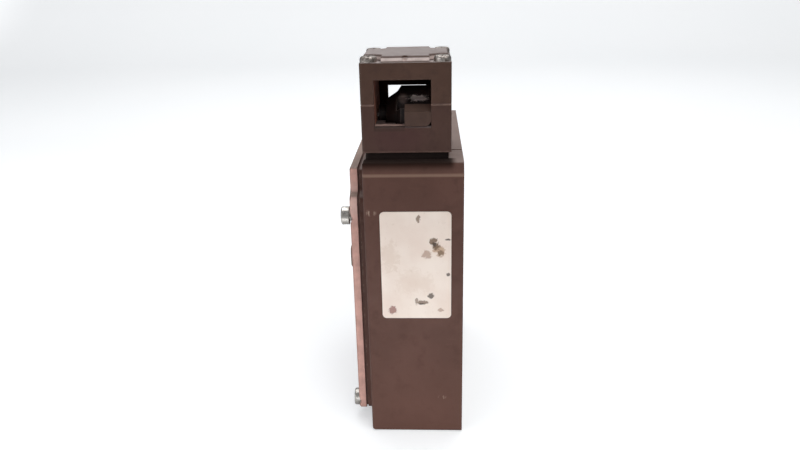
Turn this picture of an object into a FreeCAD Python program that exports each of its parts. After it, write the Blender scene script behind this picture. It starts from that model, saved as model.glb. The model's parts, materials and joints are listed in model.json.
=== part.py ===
import FreeCAD
import Part
import os
from math import atan2, cos, degrees, hypot, pi, radians, sin, sqrt

# Solenoid tongue interlock switch, metal body.  Millimetres, +Z up.
# Origin: centre of the four mounting holes, on the back face (y = 0).
# The cover faces -Y, the turret head stands at the +X end of the top.

Vec = FreeCAD.Vector
X_AXIS, Y_AXIS, Z_AXIS = Vec(1, 0, 0), Vec(0, 1, 0), Vec(0, 0, 1)

# ---------------------------------------------------------------- driving dimensions
# Body casting
body_width = 98.0
body_depth = 35.6
top_height = 110.3
shoulder_drop = 4.0
shoulder_run = 2.3
body_edge_radius = 1.2
back_wall = 3.2
bottom_wall = 10.0
top_wall = 9.0
rim_width = 3.1
rim_height = 2.3
rim_inset = 0.4
cavity_corner_radius = 3.0
top_slot_offset = 1.5
top_slot_width = 1.0
top_slot_depth = 0.8
top_slot_gap = 0.4

# Mounting holes
hole_dia = 5.3
hole_from_side = 5.0
hole_above_base = 6.0
hole_below_top = 9.3

# Coring pockets in the back of the side walls
core_inner_wall = 2.8
core_outer_wall = 3.6
core_depth = 30.0
core_height = 72.0
core_rib = 2.0
core_corner_radius = 1.0
core_count = 3

# Conduit entries (M20 x 1.5 tapping bore) and blanking plug
conduit_bore_dia = 18.4
conduit_pitch = 34.0
conduit_from_back = 18.0
plug_length = 8.0
plug_sink = 0.4
plug_hex = 8.0
plug_hex_depth = 4.0
plug_chamfer = 0.6

# Cover, gasket and cover screws
gasket_thickness = 0.8
gasket_outer_inset = 0.7
gasket_inner_inset = 0.4
cover_thickness = 2.9
cover_side_inset = 9.5
cover_notch = 4.7
cover_bottom_inset = 3.2
cover_top_inset = 5.3
notch_bottom_below_top = 17.6
notch_rise = 5.8
cover_bottom_radius = 3.0
cover_top_radius = 1.5
cover_edge_chamfer = 0.5
cover_screw_dia = 4.0
cover_screw_edge = 3.7
cover_screw_top_below = 23.4
cover_screw_bottom_above = 7.3
cover_screw_head_dia = 6.8
cover_screw_head_height = 3.0
cover_screw_sink = 1.0
cover_screw_grip = 9.0
cover_screw_hex = 3.0
cover_screw_play = 0.3
cover_hole_spare = 1.0
loose_screw_lift = 1.6
cover_boss_dia = 8.0
cover_boss_depth = 11.4

# Turret head
head_size = 31.3
head_side_inset = 5.1
head_height = 31.0
head_split_below_top = 14.1
head_edge_radius = 0.9
split_chamfer = 0.35
plinth_height = 2.6
plinth_inset = 1.0
plateau_height = 2.1
plateau_arm = 16.4
plateau_inset = 1.0
plateau_chamfer = 2.2
plateau_mark_dia = 1.6
plateau_mark_depth = 1.7
head_screw_offset = 12.6
head_screw_dia = 3.0
head_screw_head_dia = 5.9
head_screw_head_height = 1.9
head_screw_bite = 7.0
head_screw_cross_length = 3.4
head_screw_cross_width = 0.8

# Tongue window and cavity of the head
window_front_edge = 4.7
window_width = 19.6
window_below_top = 5.8
window_height = 16.0
sill_radius = 1.4
far_wall = 3.0
far_window_front_edge = 7.8
far_window_width = 14.5
far_window_below_top = 11.8
guide_width = 9.2
guide_length = 4.3
guide_setback = 0.3
guide_front_rise = 5.0
guide_back_rise = 7.0
guide_radius = 2.4

# Cam and its pin
cam_below_top = 20.4
cam_radius = 10.3
cam_disc_width = 10.2
cam_end_gap = 0.6
cam_hub_radius = 3.6
cam_cone_foot = 5.7
cam_cone_radius = 8.2
cam_cone_width = 3.8
cam_flank_width = 1.5
cam_notch_width = 4.6
cam_notch_depth = 4.2
cam_notch_angle = 35.0
cam_pin_dia = 4.0
cam_pin_end_wall = 2.2
cam_swing = 70.0
cam_clearance = 0.35

# Plunger
plunger_lift = 5.5
plunger_tip_dia = 4.0
plunger_body_dia = 8.0
plunger_neck_dia = 4.2
plunger_body_below_top = 6.8
plunger_below_bolt = 11.0
groove_height = 3.2
bush_dia = 8.0
bush_flange_dia = 11.0
bush_flange = 1.0
plunger_well_dia = 12.4
plunger_well_depth = 9.0

# Solenoid and lock bolt
solenoid_z = 27.0
bolt_travel = 4.0
yoke_side_gap = 1.7
yoke_to_plunger = 20.25
yoke_plate = 2.5
yoke_back_plate = 2.0
yoke_width = 26.0
yoke_height = 27.0
yoke_ear = 5.8
yoke_screw_inset = 10.0
coil_dia = 23.0
bobbin_flange_dia = 24.0
bobbin_flange = 1.2
bobbin_tube_dia = 13.0
armature_dia = 10.0
armature_overhang = 5.5
armature_washer_dia = 13.0
armature_washer = 1.0
armature_rest_gap = 0.5
core_length = 8.0
bolt_rod_dia = 4.6
bolt_width = 9.0
bolt_thickness = 2.6
bolt_collar_dia = 11.0
bolt_collar = 1.0
bolt_collar_gap = 0.6
bolt_to_plunger = 0.65
fork_slot = 4.8
fork_depth = 1.9
guide_plate = 2.0
guide_plate_from_plunger = 3.75
guide_plate_height = 16.0
guide_plate_wall = 2.5
guide_foot = 8.5
guide_screw_offset = 5.0

# Manual release in the cover
release_throw = 2.1
release_pin_dia = 2.0
release_shaft_dia = 7.0
release_head_dia = 9.4
release_head = 1.2
release_clip_dia = 9.6
release_clip = 0.8
release_boss_dia = 12.0
release_boss = 3.0
release_hex = 4.0
release_hex_depth = 3.0
release_inset = 0.1
release_chamfer = 0.3
release_groove_depth = 0.7
release_clip_gap = 0.1
release_clip_mouth = 4.0
release_end_gap = 0.7
release_pin_reach = 3.0
bolt_ear_width = 6.0
bolt_ear_reach = 10.4

# Contact block
block_width = 16.0
block_depth = 24.0
block_below_bolt = 14.0
block_above_floor = 4.5
block_from_back = 7.0
block_wall = 1.15
block_edge_radius = 0.8
block_screw_offset = 4.8
block_screw_rise = 3.6
channel_size = 7.4
carriage_size = 6.8
carriage_foot = 3.0
channel_floor_wall = 7.0
contact_rows = 3
contact_pitch = 10.5
contact_below_block_top = 9.0
contact_strip = 0.8
contact_width = 4.5
contact_gap = 0.3
bridge_length = 12.1
terminal_width = 4.0
terminal_height = 5.0
terminal_screw_dia = 2.4
terminal_head_dia = 3.8
terminal_head = 1.4
terminal_recess = 3.4
terminal_screw_length = 4.0
terminal_screw_drop = 0.3
terminal_play = 0.1
terminal_gap = 0.4
terminal_side_gap = 0.35

# Coil terminal strip, earth terminal, indicator board
strip_side_gap = 3.4
strip_length = 42.0
strip_depth = 14.0
strip_height = 14.0
strip_above_floor = 7.5
strip_from_back = 12.0
strip_ways = 6
strip_edge_radius = 0.8
strip_screw_inset = 3.5
strip_end = 7.0
strip_screw_dia = 2.5
strip_screw_length = 5.0
strip_head_dia = 4.0
strip_head = 1.6
strip_well_dia = 4.4
strip_well_depth = 2.6
strip_bore_depth = 8.0
strip_screw_rise = 1.5
strip_wire_dia = 3.0
strip_wire_depth = 3.4
strip_wire_from_front = 5.2
earth_side_gap = 12.4
earth_z = -8.0
earth_boss_dia = 8.0
earth_boss_height = 8.8
earth_screw_dia = 3.8
earth_screw_length = 8.0
earth_head_dia = 7.0
earth_head = 2.6
earth_clamp_size = 9.0
earth_clamp_thickness = 1.0
earth_clamp_radius = 1.0
lens_from_side = 15.8
lens_z = 15.9
lens_width = 4.5
lens_height = 8.8
lens_proud = 1.0
lens_flange = 0.7
lens_flange_thickness = 0.8
dot_lens_dia = 3.0
dot_lens_proud = 0.4
dot_lens_drops = (14.7, 25.3)
board_width = 9.0
board_thickness = 1.2
board_gap = 3.9
board_corner_radius = 1.0
board_screw_dia = 1.6
board_screw_head_dia = 3.0
board_screw_head = 1.2
board_screw_bite = 3.5
board_post_dia = 4.0
board_post_offset = 1.5
board_post_above = 4.0
board_post_below = 4.5
board_end = 2.45
led_size = 2.8
led_height = 1.0
led_width = 2.0
led_dome_dia = 1.8
led_dome = 0.9

# Small fixing screws (M3) and their bosses
m3_dia = 3.0
m3_head_dia = 5.5
m3_head = 2.0
m3_boss_dia = 7.0
m3_end_skin = 1.2

# Springs
return_spring_dia = 5.6
return_spring_wire = 0.7
return_spring_turns = 5
bolt_spring_dia = 10.4
bolt_spring_wire = 0.7
bolt_spring_turns = 3.5

# Label plate on the +X side
label_width = 25.5
label_height = 42.0
label_thickness = 0.25
label_from_back = 4.4
label_bottom_above_base = 50.8
label_radius = 1.6

# Fits
fixed_fit = 0.05
pin_fit = 0.02
running_fit = 0.05
slide_fit = 0.1
screw_fit = 0.1

# ---------------------------------------------------------------- derived places
hole_pitch_x = body_width - 2 * hole_from_side
hole_pitch_z = top_height - hole_above_base - hole_below_top
z_base = -hole_pitch_z / 2 - hole_above_base
z_top = z_base + top_height
z_shoulder = z_top - shoulder_drop
y_front = -body_depth
y_rim = y_front - rim_height
y_cover_in = y_rim - gasket_thickness
y_cover_out = y_cover_in - cover_thickness

cover_half = body_width / 2 - cover_side_inset
cover_half_up = cover_half - cover_notch
z_cover_bottom = z_base + cover_bottom_inset
z_cover_top = z_top - cover_top_inset
z_notch_low = z_top - notch_bottom_below_top
z_notch_high = z_notch_low + notch_rise
cavity_half = cover_half - rim_width
z_cavity_bottom = z_base + bottom_wall
z_cavity_top = z_top - top_wall

cover_screw_x = cover_half - cover_screw_edge
cover_screw_zs = (z_top - cover_screw_top_below, z_base + cover_screw_bottom_above)

head_x1 = body_width / 2 - head_side_inset
head_x0 = head_x1 - head_size
head_x = (head_x0 + head_x1) / 2
head_y0 = y_front
head_y1 = y_front + head_size
head_y = (head_y0 + head_y1) / 2
z_plinth = z_top + plinth_height
z_head_top = z_plinth + head_height
z_split = z_head_top - head_split_below_top
z_plateau = z_head_top + plateau_height

window_y0 = head_y0 + window_front_edge
window_y1 = window_y0 + window_width
window_z1 = z_head_top - window_below_top
window_z0 = window_z1 - window_height
far_x = head_x0 + far_wall

cam_z = z_head_top - cam_below_top
cam_y1 = window_y1 - cam_end_gap
cam_y0 = window_y0 + cam_end_gap
disc_y0 = cam_y1 - cam_disc_width
cone_y1 = disc_y0 - cam_flank_width
cone_y0 = cone_y1 - cam_cone_width
pin_y0 = head_y0 + cam_pin_end_wall
pin_y1 = head_y1 - cam_pin_end_wall

plunger_body_top = z_cavity_top - plunger_body_below_top
plunger_body_bottom = solenoid_z - plunger_below_bolt
tip_radius = plunger_tip_dia / 2
tip_gap = contact_gap
z_tip = cam_z - cam_radius - tip_gap

yoke_left = cover_notch + yoke_side_gap - cavity_half
yoke_right = head_x - yoke_to_plunger
y_yoke_back = head_y + yoke_width / 2
y_plate_front = y_yoke_back - yoke_back_plate
bolt_tip_x = head_x - plunger_body_dia / 2 - bolt_to_plunger
core_x0 = yoke_right - core_length
armature_x1 = core_x0 - bolt_travel - armature_rest_gap
armature_x0 = yoke_left - armature_overhang
bolt_collar_x0 = yoke_right + bolt_collar_gap
guide_x1 = head_x - plunger_body_dia / 2 - guide_plate_from_plunger
guide_x0 = guide_x1 - guide_plate

release_x = bolt_collar_x0 + bolt_collar + contact_gap + release_throw + release_pin_dia / 2
y_boss = y_cover_in + release_boss
y_ear = head_y - bolt_ear_reach
y_release_end = y_ear - release_end_gap

block_top = solenoid_z - block_below_bolt
block_bottom = z_cavity_bottom + block_above_floor
channel_floor = block_bottom + channel_floor_wall
contact_levels = [block_top - contact_below_block_top - i * contact_pitch for i in range(contact_rows)]
carriage_bottom = contact_levels[-1] - carriage_foot
block_y1 = -block_from_back
block_y0 = block_y1 - block_depth
y_tab = block_y0 + terminal_recess
strip_left = strip_side_gap - cavity_half
strip_bottom = z_cavity_bottom + strip_above_floor
earth_x = earth_side_gap - cavity_half
y_earth = -back_wall - earth_boss_height
lens_x = body_width / 2 - lens_from_side
dot_lens_z = [lens_z - drop for drop in dot_lens_drops]
board_y0 = y_cover_in + board_gap
board_y1 = board_y0 + board_thickness


# ---------------------------------------------------------------- helpers
def box(x0, x1, y0, y1, z0, z1):
    return Part.makeBox(x1 - x0, y1 - y0, z1 - z0, Vec(x0, y0, z0))


def rod_x(radius, x0, x1, y, z):
    return Part.makeCylinder(radius, x1 - x0, Vec(x0, y, z), X_AXIS)


def rod_y(radius, y0, y1, x, z):
    return Part.makeCylinder(radius, y1 - y0, Vec(x, y0, z), Y_AXIS)


def rod_z(radius, z0, z1, x, y):
    return Part.makeCylinder(radius, z1 - z0, Vec(x, y, z0), Z_AXIS)


def fuse(first, *others):
    return first.multiFuse(list(others)).removeSplitter()


def arc(centre_x, centre_z, radius, start_deg, end_deg, y):
    def at(angle):
        return Vec(centre_x + radius * cos(radians(angle)), y, centre_z + radius * sin(radians(angle)))
    return Part.Arc(at(start_deg), at((start_deg + end_deg) / 2), at(end_deg)).toShape()


def line(x0, z0, x1, z1, y):
    return Part.LineSegment(Vec(x0, y, z0), Vec(x1, y, z1)).toShape()


def polygon_prism(points, y0, y1):
    """Prism along Y over a polygon of (x, z) points."""
    wire = Part.makePolygon([Vec(x, y0, z) for x, z in points + points[:1]])
    return Part.Face(wire).extrude(Vec(0, y1 - y0, 0))


def stadium_prism(x, z, width, height, y0, y1):
    """Upright oval: two half circles joined by straight sides."""
    r = width / 2
    run = height / 2 - r
    edges = [
        arc(x, z + run, r, 0, 180, y0),
        line(x - r, z + run, x - r, z - run, y0),
        arc(x, z - run, r, 180, 360, y0),
        line(x + r, z - run, x + r, z + run, y0),
    ]
    return Part.Face(Part.Wire(edges)).extrude(Vec(0, y1 - y0, 0))


def rounded_box(x0, x1, y0, y1, z0, z1, radius, axis):
    """Box whose four edges along one axis are rounded."""
    solid = box(x0, x1, y0, y1, z0, z1)
    picked = [e for e in solid.Edges if abs(e.tangentAt(e.FirstParameter).dot(axis)) > 0.99]
    return solid.makeFillet(radius, picked)


def cover_outline(half, half_up, z0, z1, r0, r1, y):
    """Outline of cover, gasket, rim and cavity: narrower above the S-shaped side notches."""
    rise, step = notch_rise / 2, (half - half_up) / 2
    r_s = (rise * rise + step * step) / (2 * step)
    sweep = degrees(atan2(rise, r_s - step))
    edges = []
    for side in (1, -1):
        def pt(x, z):
            return Vec(side * x, y, z)

        def curve(cx, cz, r, a0, a1):
            mid = radians((a0 + a1) / 2)
            return Part.Arc(
                pt(cx + r * cos(radians(a0)), cz + r * sin(radians(a0))),
                pt(cx + r * cos(mid), cz + r * sin(mid)),
                pt(cx + r * cos(radians(a1)), cz + r * sin(radians(a1))),
            ).toShape()

        run = [
            Part.LineSegment(pt(0, z0), pt(half - r0, z0)).toShape(),
            curve(half - r0, z0 + r0, r0, -90, 0),
            Part.LineSegment(pt(half, z0 + r0), pt(half, z_notch_low)).toShape(),
            curve(half - r_s, z_notch_low, r_s, 0, sweep),
            curve(half_up + r_s, z_notch_high, r_s, 180 + sweep, 180),
            Part.LineSegment(pt(half_up, z_notch_high), pt(half_up, z1 - r1)).toShape(),
            curve(half_up - r1, z1 - r1, r1, 0, 90),
            Part.LineSegment(pt(half_up - r1, z1), pt(0, z1)).toShape(),
        ]
        edges += run
    return Part.Wire(Part.__sortEdges__(edges))


def outline_plate(half, half_up, z0, z1, r0, r1, y0, y1):
    wire = cover_outline(half, half_up, z0, z1, r0, r1, y0)
    return Part.Face(wire).extrude(Vec(0, y1 - y0, 0))


def cover_plate(inset, y0, y1):
    return outline_plate(
        cover_half - inset, cover_half_up - inset, z_cover_bottom + inset, z_cover_top - inset,
        cover_bottom_radius, cover_top_radius, y0, y1)


def cavity_plate(inset, y0, y1):
    return outline_plate(
        cavity_half - inset, cavity_half - cover_notch - inset,
        z_cavity_bottom + inset, z_cavity_top - inset,
        cavity_corner_radius, cavity_corner_radius, y0, y1)


def hex_prism(x, z, across, y0, y1):
    r = across / sqrt(3)
    corners = [(x + r * cos(pi / 3 * i), z + r * sin(pi / 3 * i)) for i in range(6)]
    return polygon_prism(corners, y0, y1)


def screw_y(x, z, dia, y_seat, length, head_dia, head, drive):
    """Cheese head screw driven from -Y; y_seat is the underside of its head."""
    body = rod_y(head_dia / 2, y_seat - head, y_seat, x, z)
    front = [e for e in body.Edges if e.BoundBox.YMax < y_seat - head + 0.01]
    body = body.makeChamfer(head / 8, front)
    body = fuse(body, rod_y(dia / 2, y_seat, y_seat + length, x, z))
    if drive == "hex":
        return body.cut(hex_prism(x, z, cover_screw_hex, y_seat - head, y_seat - head * 0.45))
    slot = box(x - head_dia, x + head_dia, y_seat - head, y_seat - head * 0.55, z - dia / 8, z + dia / 8)
    return body.cut(slot)


def coil_spring(mean_dia, wire, turns, length):
    """Closed coil along +Z from the origin, lying wholly between 0 and length.

    The wire is drawn with six flats of the same area as its round section."""
    corner = wire * sqrt(pi / (6 * sqrt(3)))
    rise = length - 2 * corner
    helix = Part.makeHelix(rise / turns, rise, mean_dia / 2)
    helix.translate(Vec(0, 0, corner))
    start = Vec(mean_dia / 2, 0, corner)
    slope = Vec(0, pi * mean_dia, rise / turns).normalize()
    across = slope.cross(X_AXIS)
    flats = []
    for i in range(6):
        angle = pi / 3 * i
        flats.append(start + X_AXIS * (corner * cos(angle)) + across * (corner * sin(angle)))
    section = Part.Wire(Part.makePolygon(flats + flats[:1]))
    return Part.Wire(helix.Edges).makePipeShell([section], True, True)


# ---------------------------------------------------------------- body casting
def body_shell():
    half = body_width / 2
    shell = polygon_prism([
        (-half, z_base), (half, z_base), (half, z_shoulder), (half - shoulder_run, z_top),
        (-half + shoulder_run, z_top), (-half, z_shoulder)], y_front, 0)
    rounded = [e for e in shell.Edges if e.BoundBox.YMin < -0.01]
    shell = shell.makeFillet(body_edge_radius, rounded)
    rim = cover_plate(rim_inset, y_rim, y_front + back_wall)
    return fuse(shell, rim).cut(cavity_plate(0, y_rim - 1, -back_wall))


def core_pockets():
    x0 = cavity_half + core_inner_wall
    x1 = body_width / 2 - core_outer_wall
    pitch = core_height / core_count
    pockets = []
    for side in (-1, 1):
        for i in range(core_count):
            low = -core_height / 2 + i * pitch + core_rib / 2
            xa, xb = sorted((side * x0, side * x1))
            pockets.append(rounded_box(xa, xb, -core_depth, 1, low, low + pitch - core_rib,
                                       core_corner_radius, Y_AXIS))
    return pockets


def m3_posts():
    """Places (x, z, y of the seat) of every M3 screw that goes into the back wall."""
    ear_z = solenoid_z - yoke_height / 2 - yoke_ear / 2
    strip_z = strip_bottom + strip_height / 2
    strip_right = strip_left + strip_length
    return {
        "yoke": [(x, ear_z, y_yoke_back)
                 for x in (yoke_left + yoke_screw_inset, yoke_right - yoke_screw_inset)],
        "guide": [(guide_x0 - guide_foot / 2, solenoid_z + side * guide_screw_offset, y_yoke_back)
                  for side in (-1, 1)],
        "block": [(head_x + side * block_screw_offset, block_bottom + block_screw_rise, block_y1)
                  for side in (-1, 1)],
        "strip": [(x, strip_z, -strip_from_back)
                  for x in (strip_left + strip_screw_inset, strip_right - strip_screw_inset)],
    }


def body_housing():
    body = body_shell()
    bosses = []
    holes = core_pockets()
    for side in (-1, 1):
        for z in cover_screw_zs:
            x = side * cover_screw_x
            bosses.append(rod_y(cover_boss_dia / 2, y_rim, y_rim + cover_boss_depth, x, z))
            holes.append(rod_y(cover_screw_dia / 2 + screw_fit, y_rim - 1, y_rim + cover_screw_grip, x, z))
        for z in (-hole_pitch_z / 2, hole_pitch_z / 2):
            holes.append(rod_y(hole_dia / 2, y_rim, 1, side * hole_pitch_x / 2, z))
    for group in m3_posts().values():
        for x, z, y_seat in group:
            bosses.append(rod_y(m3_boss_dia / 2, y_seat, -back_wall / 2, x, z))
            holes.append(rod_y(m3_dia / 2 + screw_fit, y_seat - 1, -m3_end_skin, x, z))
    bosses.append(rod_y(earth_boss_dia / 2, y_earth, -back_wall / 2, earth_x, earth_z))
    holes.append(rod_y(earth_screw_dia / 2 + screw_fit, y_earth - 1, -m3_end_skin, earth_x, earth_z))
    for side in (-1, 1):
        holes.append(rod_z(conduit_bore_dia / 2, z_base - 1, z_cavity_bottom + 1,
                           side * conduit_pitch / 2, -conduit_from_back))
    holes.append(rod_z(bush_dia / 2, z_cavity_top - 1, z_top + 1, head_x, head_y))
    holes.append(rod_z(plunger_well_dia / 2, z_cavity_top - plunger_well_depth, z_cavity_top, head_x, head_y))
    for x, y in head_screw_places():
        holes.append(rod_z(head_screw_dia / 2 + screw_fit, z_top - head_screw_bite - 1, z_top + 1, x, y))
    slot_x = head_x + top_slot_offset
    holes.append(box(slot_x - top_slot_width / 2, slot_x + top_slot_width / 2, head_y1 + top_slot_gap, 1,
                     z_top - top_slot_depth, z_top + 1))
    return fuse(body, *bosses).cut(holes)


# ---------------------------------------------------------------- cover group
def cover_gasket():
    ring = cover_plate(gasket_outer_inset, y_cover_in, y_rim)
    ring = ring.cut(cavity_plate(-gasket_inner_inset, y_cover_in - 1, y_rim + 1))
    hole = cover_screw_dia / 2 + cover_screw_play
    return ring.cut([rod_y(hole, y_cover_in - 1, y_rim + 1, side * cover_screw_x, z)
                     for side in (-1, 1) for z in cover_screw_zs])


def front_cover():
    plate = cover_plate(0, y_cover_out, y_cover_in)
    front = [e for e in plate.Edges if e.BoundBox.YMax < y_cover_out + 0.01]
    plate = plate.makeChamfer(cover_edge_chamfer, front)
    holes = []
    for side in (-1, 1):
        for z in cover_screw_zs:
            x = side * cover_screw_x
            holes.append(rod_y(cover_screw_dia / 2 + cover_screw_play, y_cover_out - 1, y_cover_in + 1, x, z))
            holes.append(rod_y(cover_screw_head_dia / 2 + cover_screw_play, y_cover_out - 1,
                               y_cover_out + cover_screw_sink, x, z))
    holes.append(stadium_prism(lens_x, lens_z, lens_width + 2 * fixed_fit, lens_height + 2 * fixed_fit,
                               y_cover_out - 1, y_cover_in + 1))
    for z in dot_lens_z:
        holes.append(rod_y(dot_lens_dia / 2 + fixed_fit, y_cover_out - 1, y_cover_in + 1, lens_x, z))
    holes.append(rod_y(release_head_dia / 2 + contact_gap, y_cover_out - 1,
                       y_cover_out + release_head + 2 * release_inset, release_x, solenoid_z))
    boss = rod_y(release_boss_dia / 2, y_cover_in - 0.5, y_boss, release_x, solenoid_z)
    plate = fuse(plate, boss)
    holes.append(rod_y(release_shaft_dia / 2 + running_fit, y_cover_out - 1, y_boss + 1,
                       release_x, solenoid_z))
    places = board_screw_places()
    posts = [rod_y(board_post_dia / 2, y_cover_in, board_y0, x, z) for x, z in places]
    bores = [rod_y(board_screw_dia / 2 + fixed_fit, y_cover_in, board_y0 + 1, x, z) for x, z in places]
    return fuse(plate.cut(holes), *posts).cut(bores)


def cover_screws():
    screws = []
    for side in (-1, 1):
        for z in cover_screw_zs:
            lift = loose_screw_lift if side > 0 and z == cover_screw_zs[0] else 0
            seat = y_cover_out + cover_screw_sink - lift
            length = y_rim + cover_screw_grip - cover_hole_spare - seat - lift
            screws.append(screw_y(side * cover_screw_x, z, cover_screw_dia, seat, length,
                                  cover_screw_head_dia, cover_screw_head_height, "hex"))
    return Part.makeCompound(screws)


def manual_release():
    """Key-operated shaft whose eccentric pin draws the lock bolt back."""
    z, y0 = solenoid_z, y_cover_out + release_inset
    head = rod_y(release_head_dia / 2, y0, y0 + release_head, release_x, z)
    front = [e for e in head.Edges if e.BoundBox.YMax < y0 + 0.01]
    head = head.makeChamfer(release_chamfer, front)
    shaft = rod_y(release_shaft_dia / 2, y0 + release_head, y_release_end, release_x, z)
    groove_y = y_boss + release_clip_gap
    root = rod_y(release_shaft_dia / 2 - release_groove_depth, y0, y_release_end, release_x, z)
    groove = rod_y(release_shaft_dia, groove_y, groove_y + release_clip, release_x, z).cut(root)
    pin = rod_y(release_pin_dia / 2, y_release_end, y_ear + release_pin_reach, release_x + release_throw, z)
    key = hex_prism(release_x, z, release_hex, y0 - 1, y0 + release_hex_depth)
    return fuse(head, shaft.cut(groove), pin).cut(key)


def release_clip_ring():
    y0 = y_boss + release_clip_gap
    y1 = y0 + release_clip
    half = release_clip_mouth / 2
    ring = rod_y(release_clip_dia / 2, y0, y1, release_x, solenoid_z)
    bore = rod_y(release_shaft_dia / 2 - release_groove_depth, y0 - 1, y1 + 1, release_x, solenoid_z)
    mouth = box(release_x - half, release_x + half, y0 - 1, y1 + 1, solenoid_z - release_clip_dia, solenoid_z)
    return ring.cut([bore, mouth])


def indicator_lens():
    body = stadium_prism(lens_x, lens_z, lens_width, lens_height, y_cover_out - lens_proud, y_cover_in)
    front = [e for e in body.Edges if e.BoundBox.YMax < y_cover_out - lens_proud + 0.01]
    body = body.makeFillet(lens_proud * 0.6, front)
    flange = stadium_prism(lens_x, lens_z, lens_width + 2 * lens_flange, lens_height + 2 * lens_flange,
                           y_cover_in, y_cover_in + lens_flange_thickness)
    return fuse(body, flange)


def indicator_dots():
    dots = []
    for z in dot_lens_z:
        dot = rod_y(dot_lens_dia / 2, y_cover_out - dot_lens_proud, y_cover_in, lens_x, z)
        front = [e for e in dot.Edges if e.BoundBox.YMax < y_cover_out - dot_lens_proud + 0.01]
        dot = dot.makeFillet(dot_lens_proud * 0.8, front)
        flange = rod_y(dot_lens_dia / 2 + lens_flange, y_cover_in, y_cover_in + lens_flange_thickness,
                       lens_x, z)
        dots.append(fuse(dot, flange))
    return Part.makeCompound(dots)


def board_screw_places():
    x = lens_x - board_post_offset
    return [(x, lens_z + lens_height / 2 + board_post_above), (x, dot_lens_z[-1] - board_post_below)]


def board_outline():
    x1 = cavity_half - contact_gap
    (_, z1), (_, z0) = board_screw_places()
    return x1 - board_width, x1, z0 - board_end, z1 + board_end


def indicator_board():
    x0, x1, z0, z1 = board_outline()
    board = rounded_box(x0, x1, board_y0, board_y1, z0, z1, board_corner_radius, Y_AXIS)
    hole = board_screw_dia / 2 + fixed_fit
    return board.cut([rod_y(hole, board_y0 - 1, board_y1 + 1, x, z) for x, z in board_screw_places()])


def board_leds():
    lights = []
    for z in [lens_z] + dot_lens_z:
        y0 = board_y0 - led_height
        chip = box(lens_x - led_size / 2, lens_x + led_size / 2, y0, board_y0,
                   z - led_width / 2, z + led_width / 2)
        dome = rod_y(led_dome_dia / 2, y0 - led_dome, y0, lens_x, z)
        lights.append(fuse(chip, dome))
    return Part.makeCompound(lights)


def board_screws():
    screws = []
    for x, z in board_screw_places():
        head = rod_y(board_screw_head_dia / 2, board_y1, board_y1 + board_screw_head, x, z)
        screws.append(fuse(head, rod_y(board_screw_dia / 2, board_y0 - board_screw_bite, board_y1, x, z)))
    return Part.makeCompound(screws)


# ---------------------------------------------------------------- turret head
def head_screw_places():
    return [(head_x + sx * head_screw_offset, head_y + sy * head_screw_offset)
            for sx in (-1, 1) for sy in (-1, 1)]


def screw_holes(z0, z1):
    return [rod_z(head_screw_dia / 2 + screw_fit, z0, z1, x, y) for x, y in head_screw_places()]


def head_plinth():
    plate = rounded_box(head_x0 + plinth_inset, head_x1 - plinth_inset, head_y0 + plinth_inset,
                        head_y1 - plinth_inset, z_top, z_plinth, head_edge_radius, Z_AXIS)
    bore = rod_z(tip_radius + 2 * contact_gap, z_top - 1, z_plinth + 1, head_x, head_y)
    return plate.cut([bore] + screw_holes(z_top - 1, z_plinth + 1))


def head_block(z0, z1):
    return rounded_box(head_x0, head_x1, head_y0, head_y1, z0, z1, head_edge_radius, Z_AXIS)


def tongue_cavity():
    """Room behind the tongue window, and the smaller window in the far wall."""
    room = box(far_x, head_x1 + 1, window_y0, window_y1, window_z0, window_z1)
    far_y0 = head_y0 + far_window_front_edge
    far = box(head_x0 - 1, far_x + 1, far_y0, far_y0 + far_window_width,
              window_z0, z_head_top - far_window_below_top)
    return [room, far]


def cam_pocket():
    """Turned clearance round the cam, open into the tongue cavity."""
    gap = cam_clearance
    return [
        rod_y(cam_radius + gap, cone_y1 - gap, window_y1, head_x, cam_z),
        rod_y(cam_cone_radius + gap, cone_y0 - gap, cone_y1, head_x, cam_z),
        rod_y(cam_hub_radius + gap, window_y0, cone_y0, head_x, cam_z),
    ]


def head_base():
    block = head_block(z_plinth, z_split)
    rim = [e for e in block.Edges if e.BoundBox.ZMin > z_split - 0.01]
    block = block.makeChamfer(split_chamfer, rim)
    cuts = tongue_cavity() + cam_pocket() + screw_holes(z_plinth - 1, z_split + 1)
    cuts.append(rod_y(cam_pin_dia / 2 + pin_fit, pin_y0, head_y1 + 1, head_x, cam_z))
    cuts.append(rod_z(tip_radius + 2 * contact_gap, z_plinth - 1, cam_z, head_x, head_y))
    # worn, rounded sill of the window
    sill_x, sill_z = head_x1 - sill_radius, window_z0 - sill_radius
    corner = box(sill_x, head_x1 + 1, window_y0, window_y1, sill_z, window_z0 + 1)
    cuts.append(corner.cut(rod_y(sill_radius, window_y0, window_y1, sill_x, sill_z)))
    return block.cut(cuts)


def head_cap():
    block = head_block(z_split, z_head_top)
    rim = [e for e in block.Edges if e.BoundBox.ZMin > z_head_top - 0.01]
    block = block.makeFillet(split_chamfer, rim)
    half, arm = head_size / 2 - plateau_inset, plateau_arm / 2
    inner = arm + plateau_chamfer
    quarter = [(half, arm), (inner, arm), (arm, inner), (arm, half)]
    points = []
    for i in range(4):
        c, s = cos(pi / 2 * i), sin(pi / 2 * i)
        points += [Vec(head_x + c * a - s * b, head_y + s * a + c * b, z_head_top - 1) for a, b in quarter]
    top = Part.Face(Part.makePolygon(points + points[:1])).extrude(Vec(0, 0, plateau_height + 1))
    upper = [e for e in top.Edges if e.BoundBox.ZMin > z_plateau - 0.01]
    top = top.makeChamfer(split_chamfer, upper)
    mark = rod_z(plateau_mark_dia / 2, z_plateau - plateau_mark_depth, z_plateau + 1,
                 head_x1 - plateau_inset, head_y)
    return fuse(block, top).cut(tongue_cavity() + screw_holes(z_split - 1, z_plateau + 1) + [mark])


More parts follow.
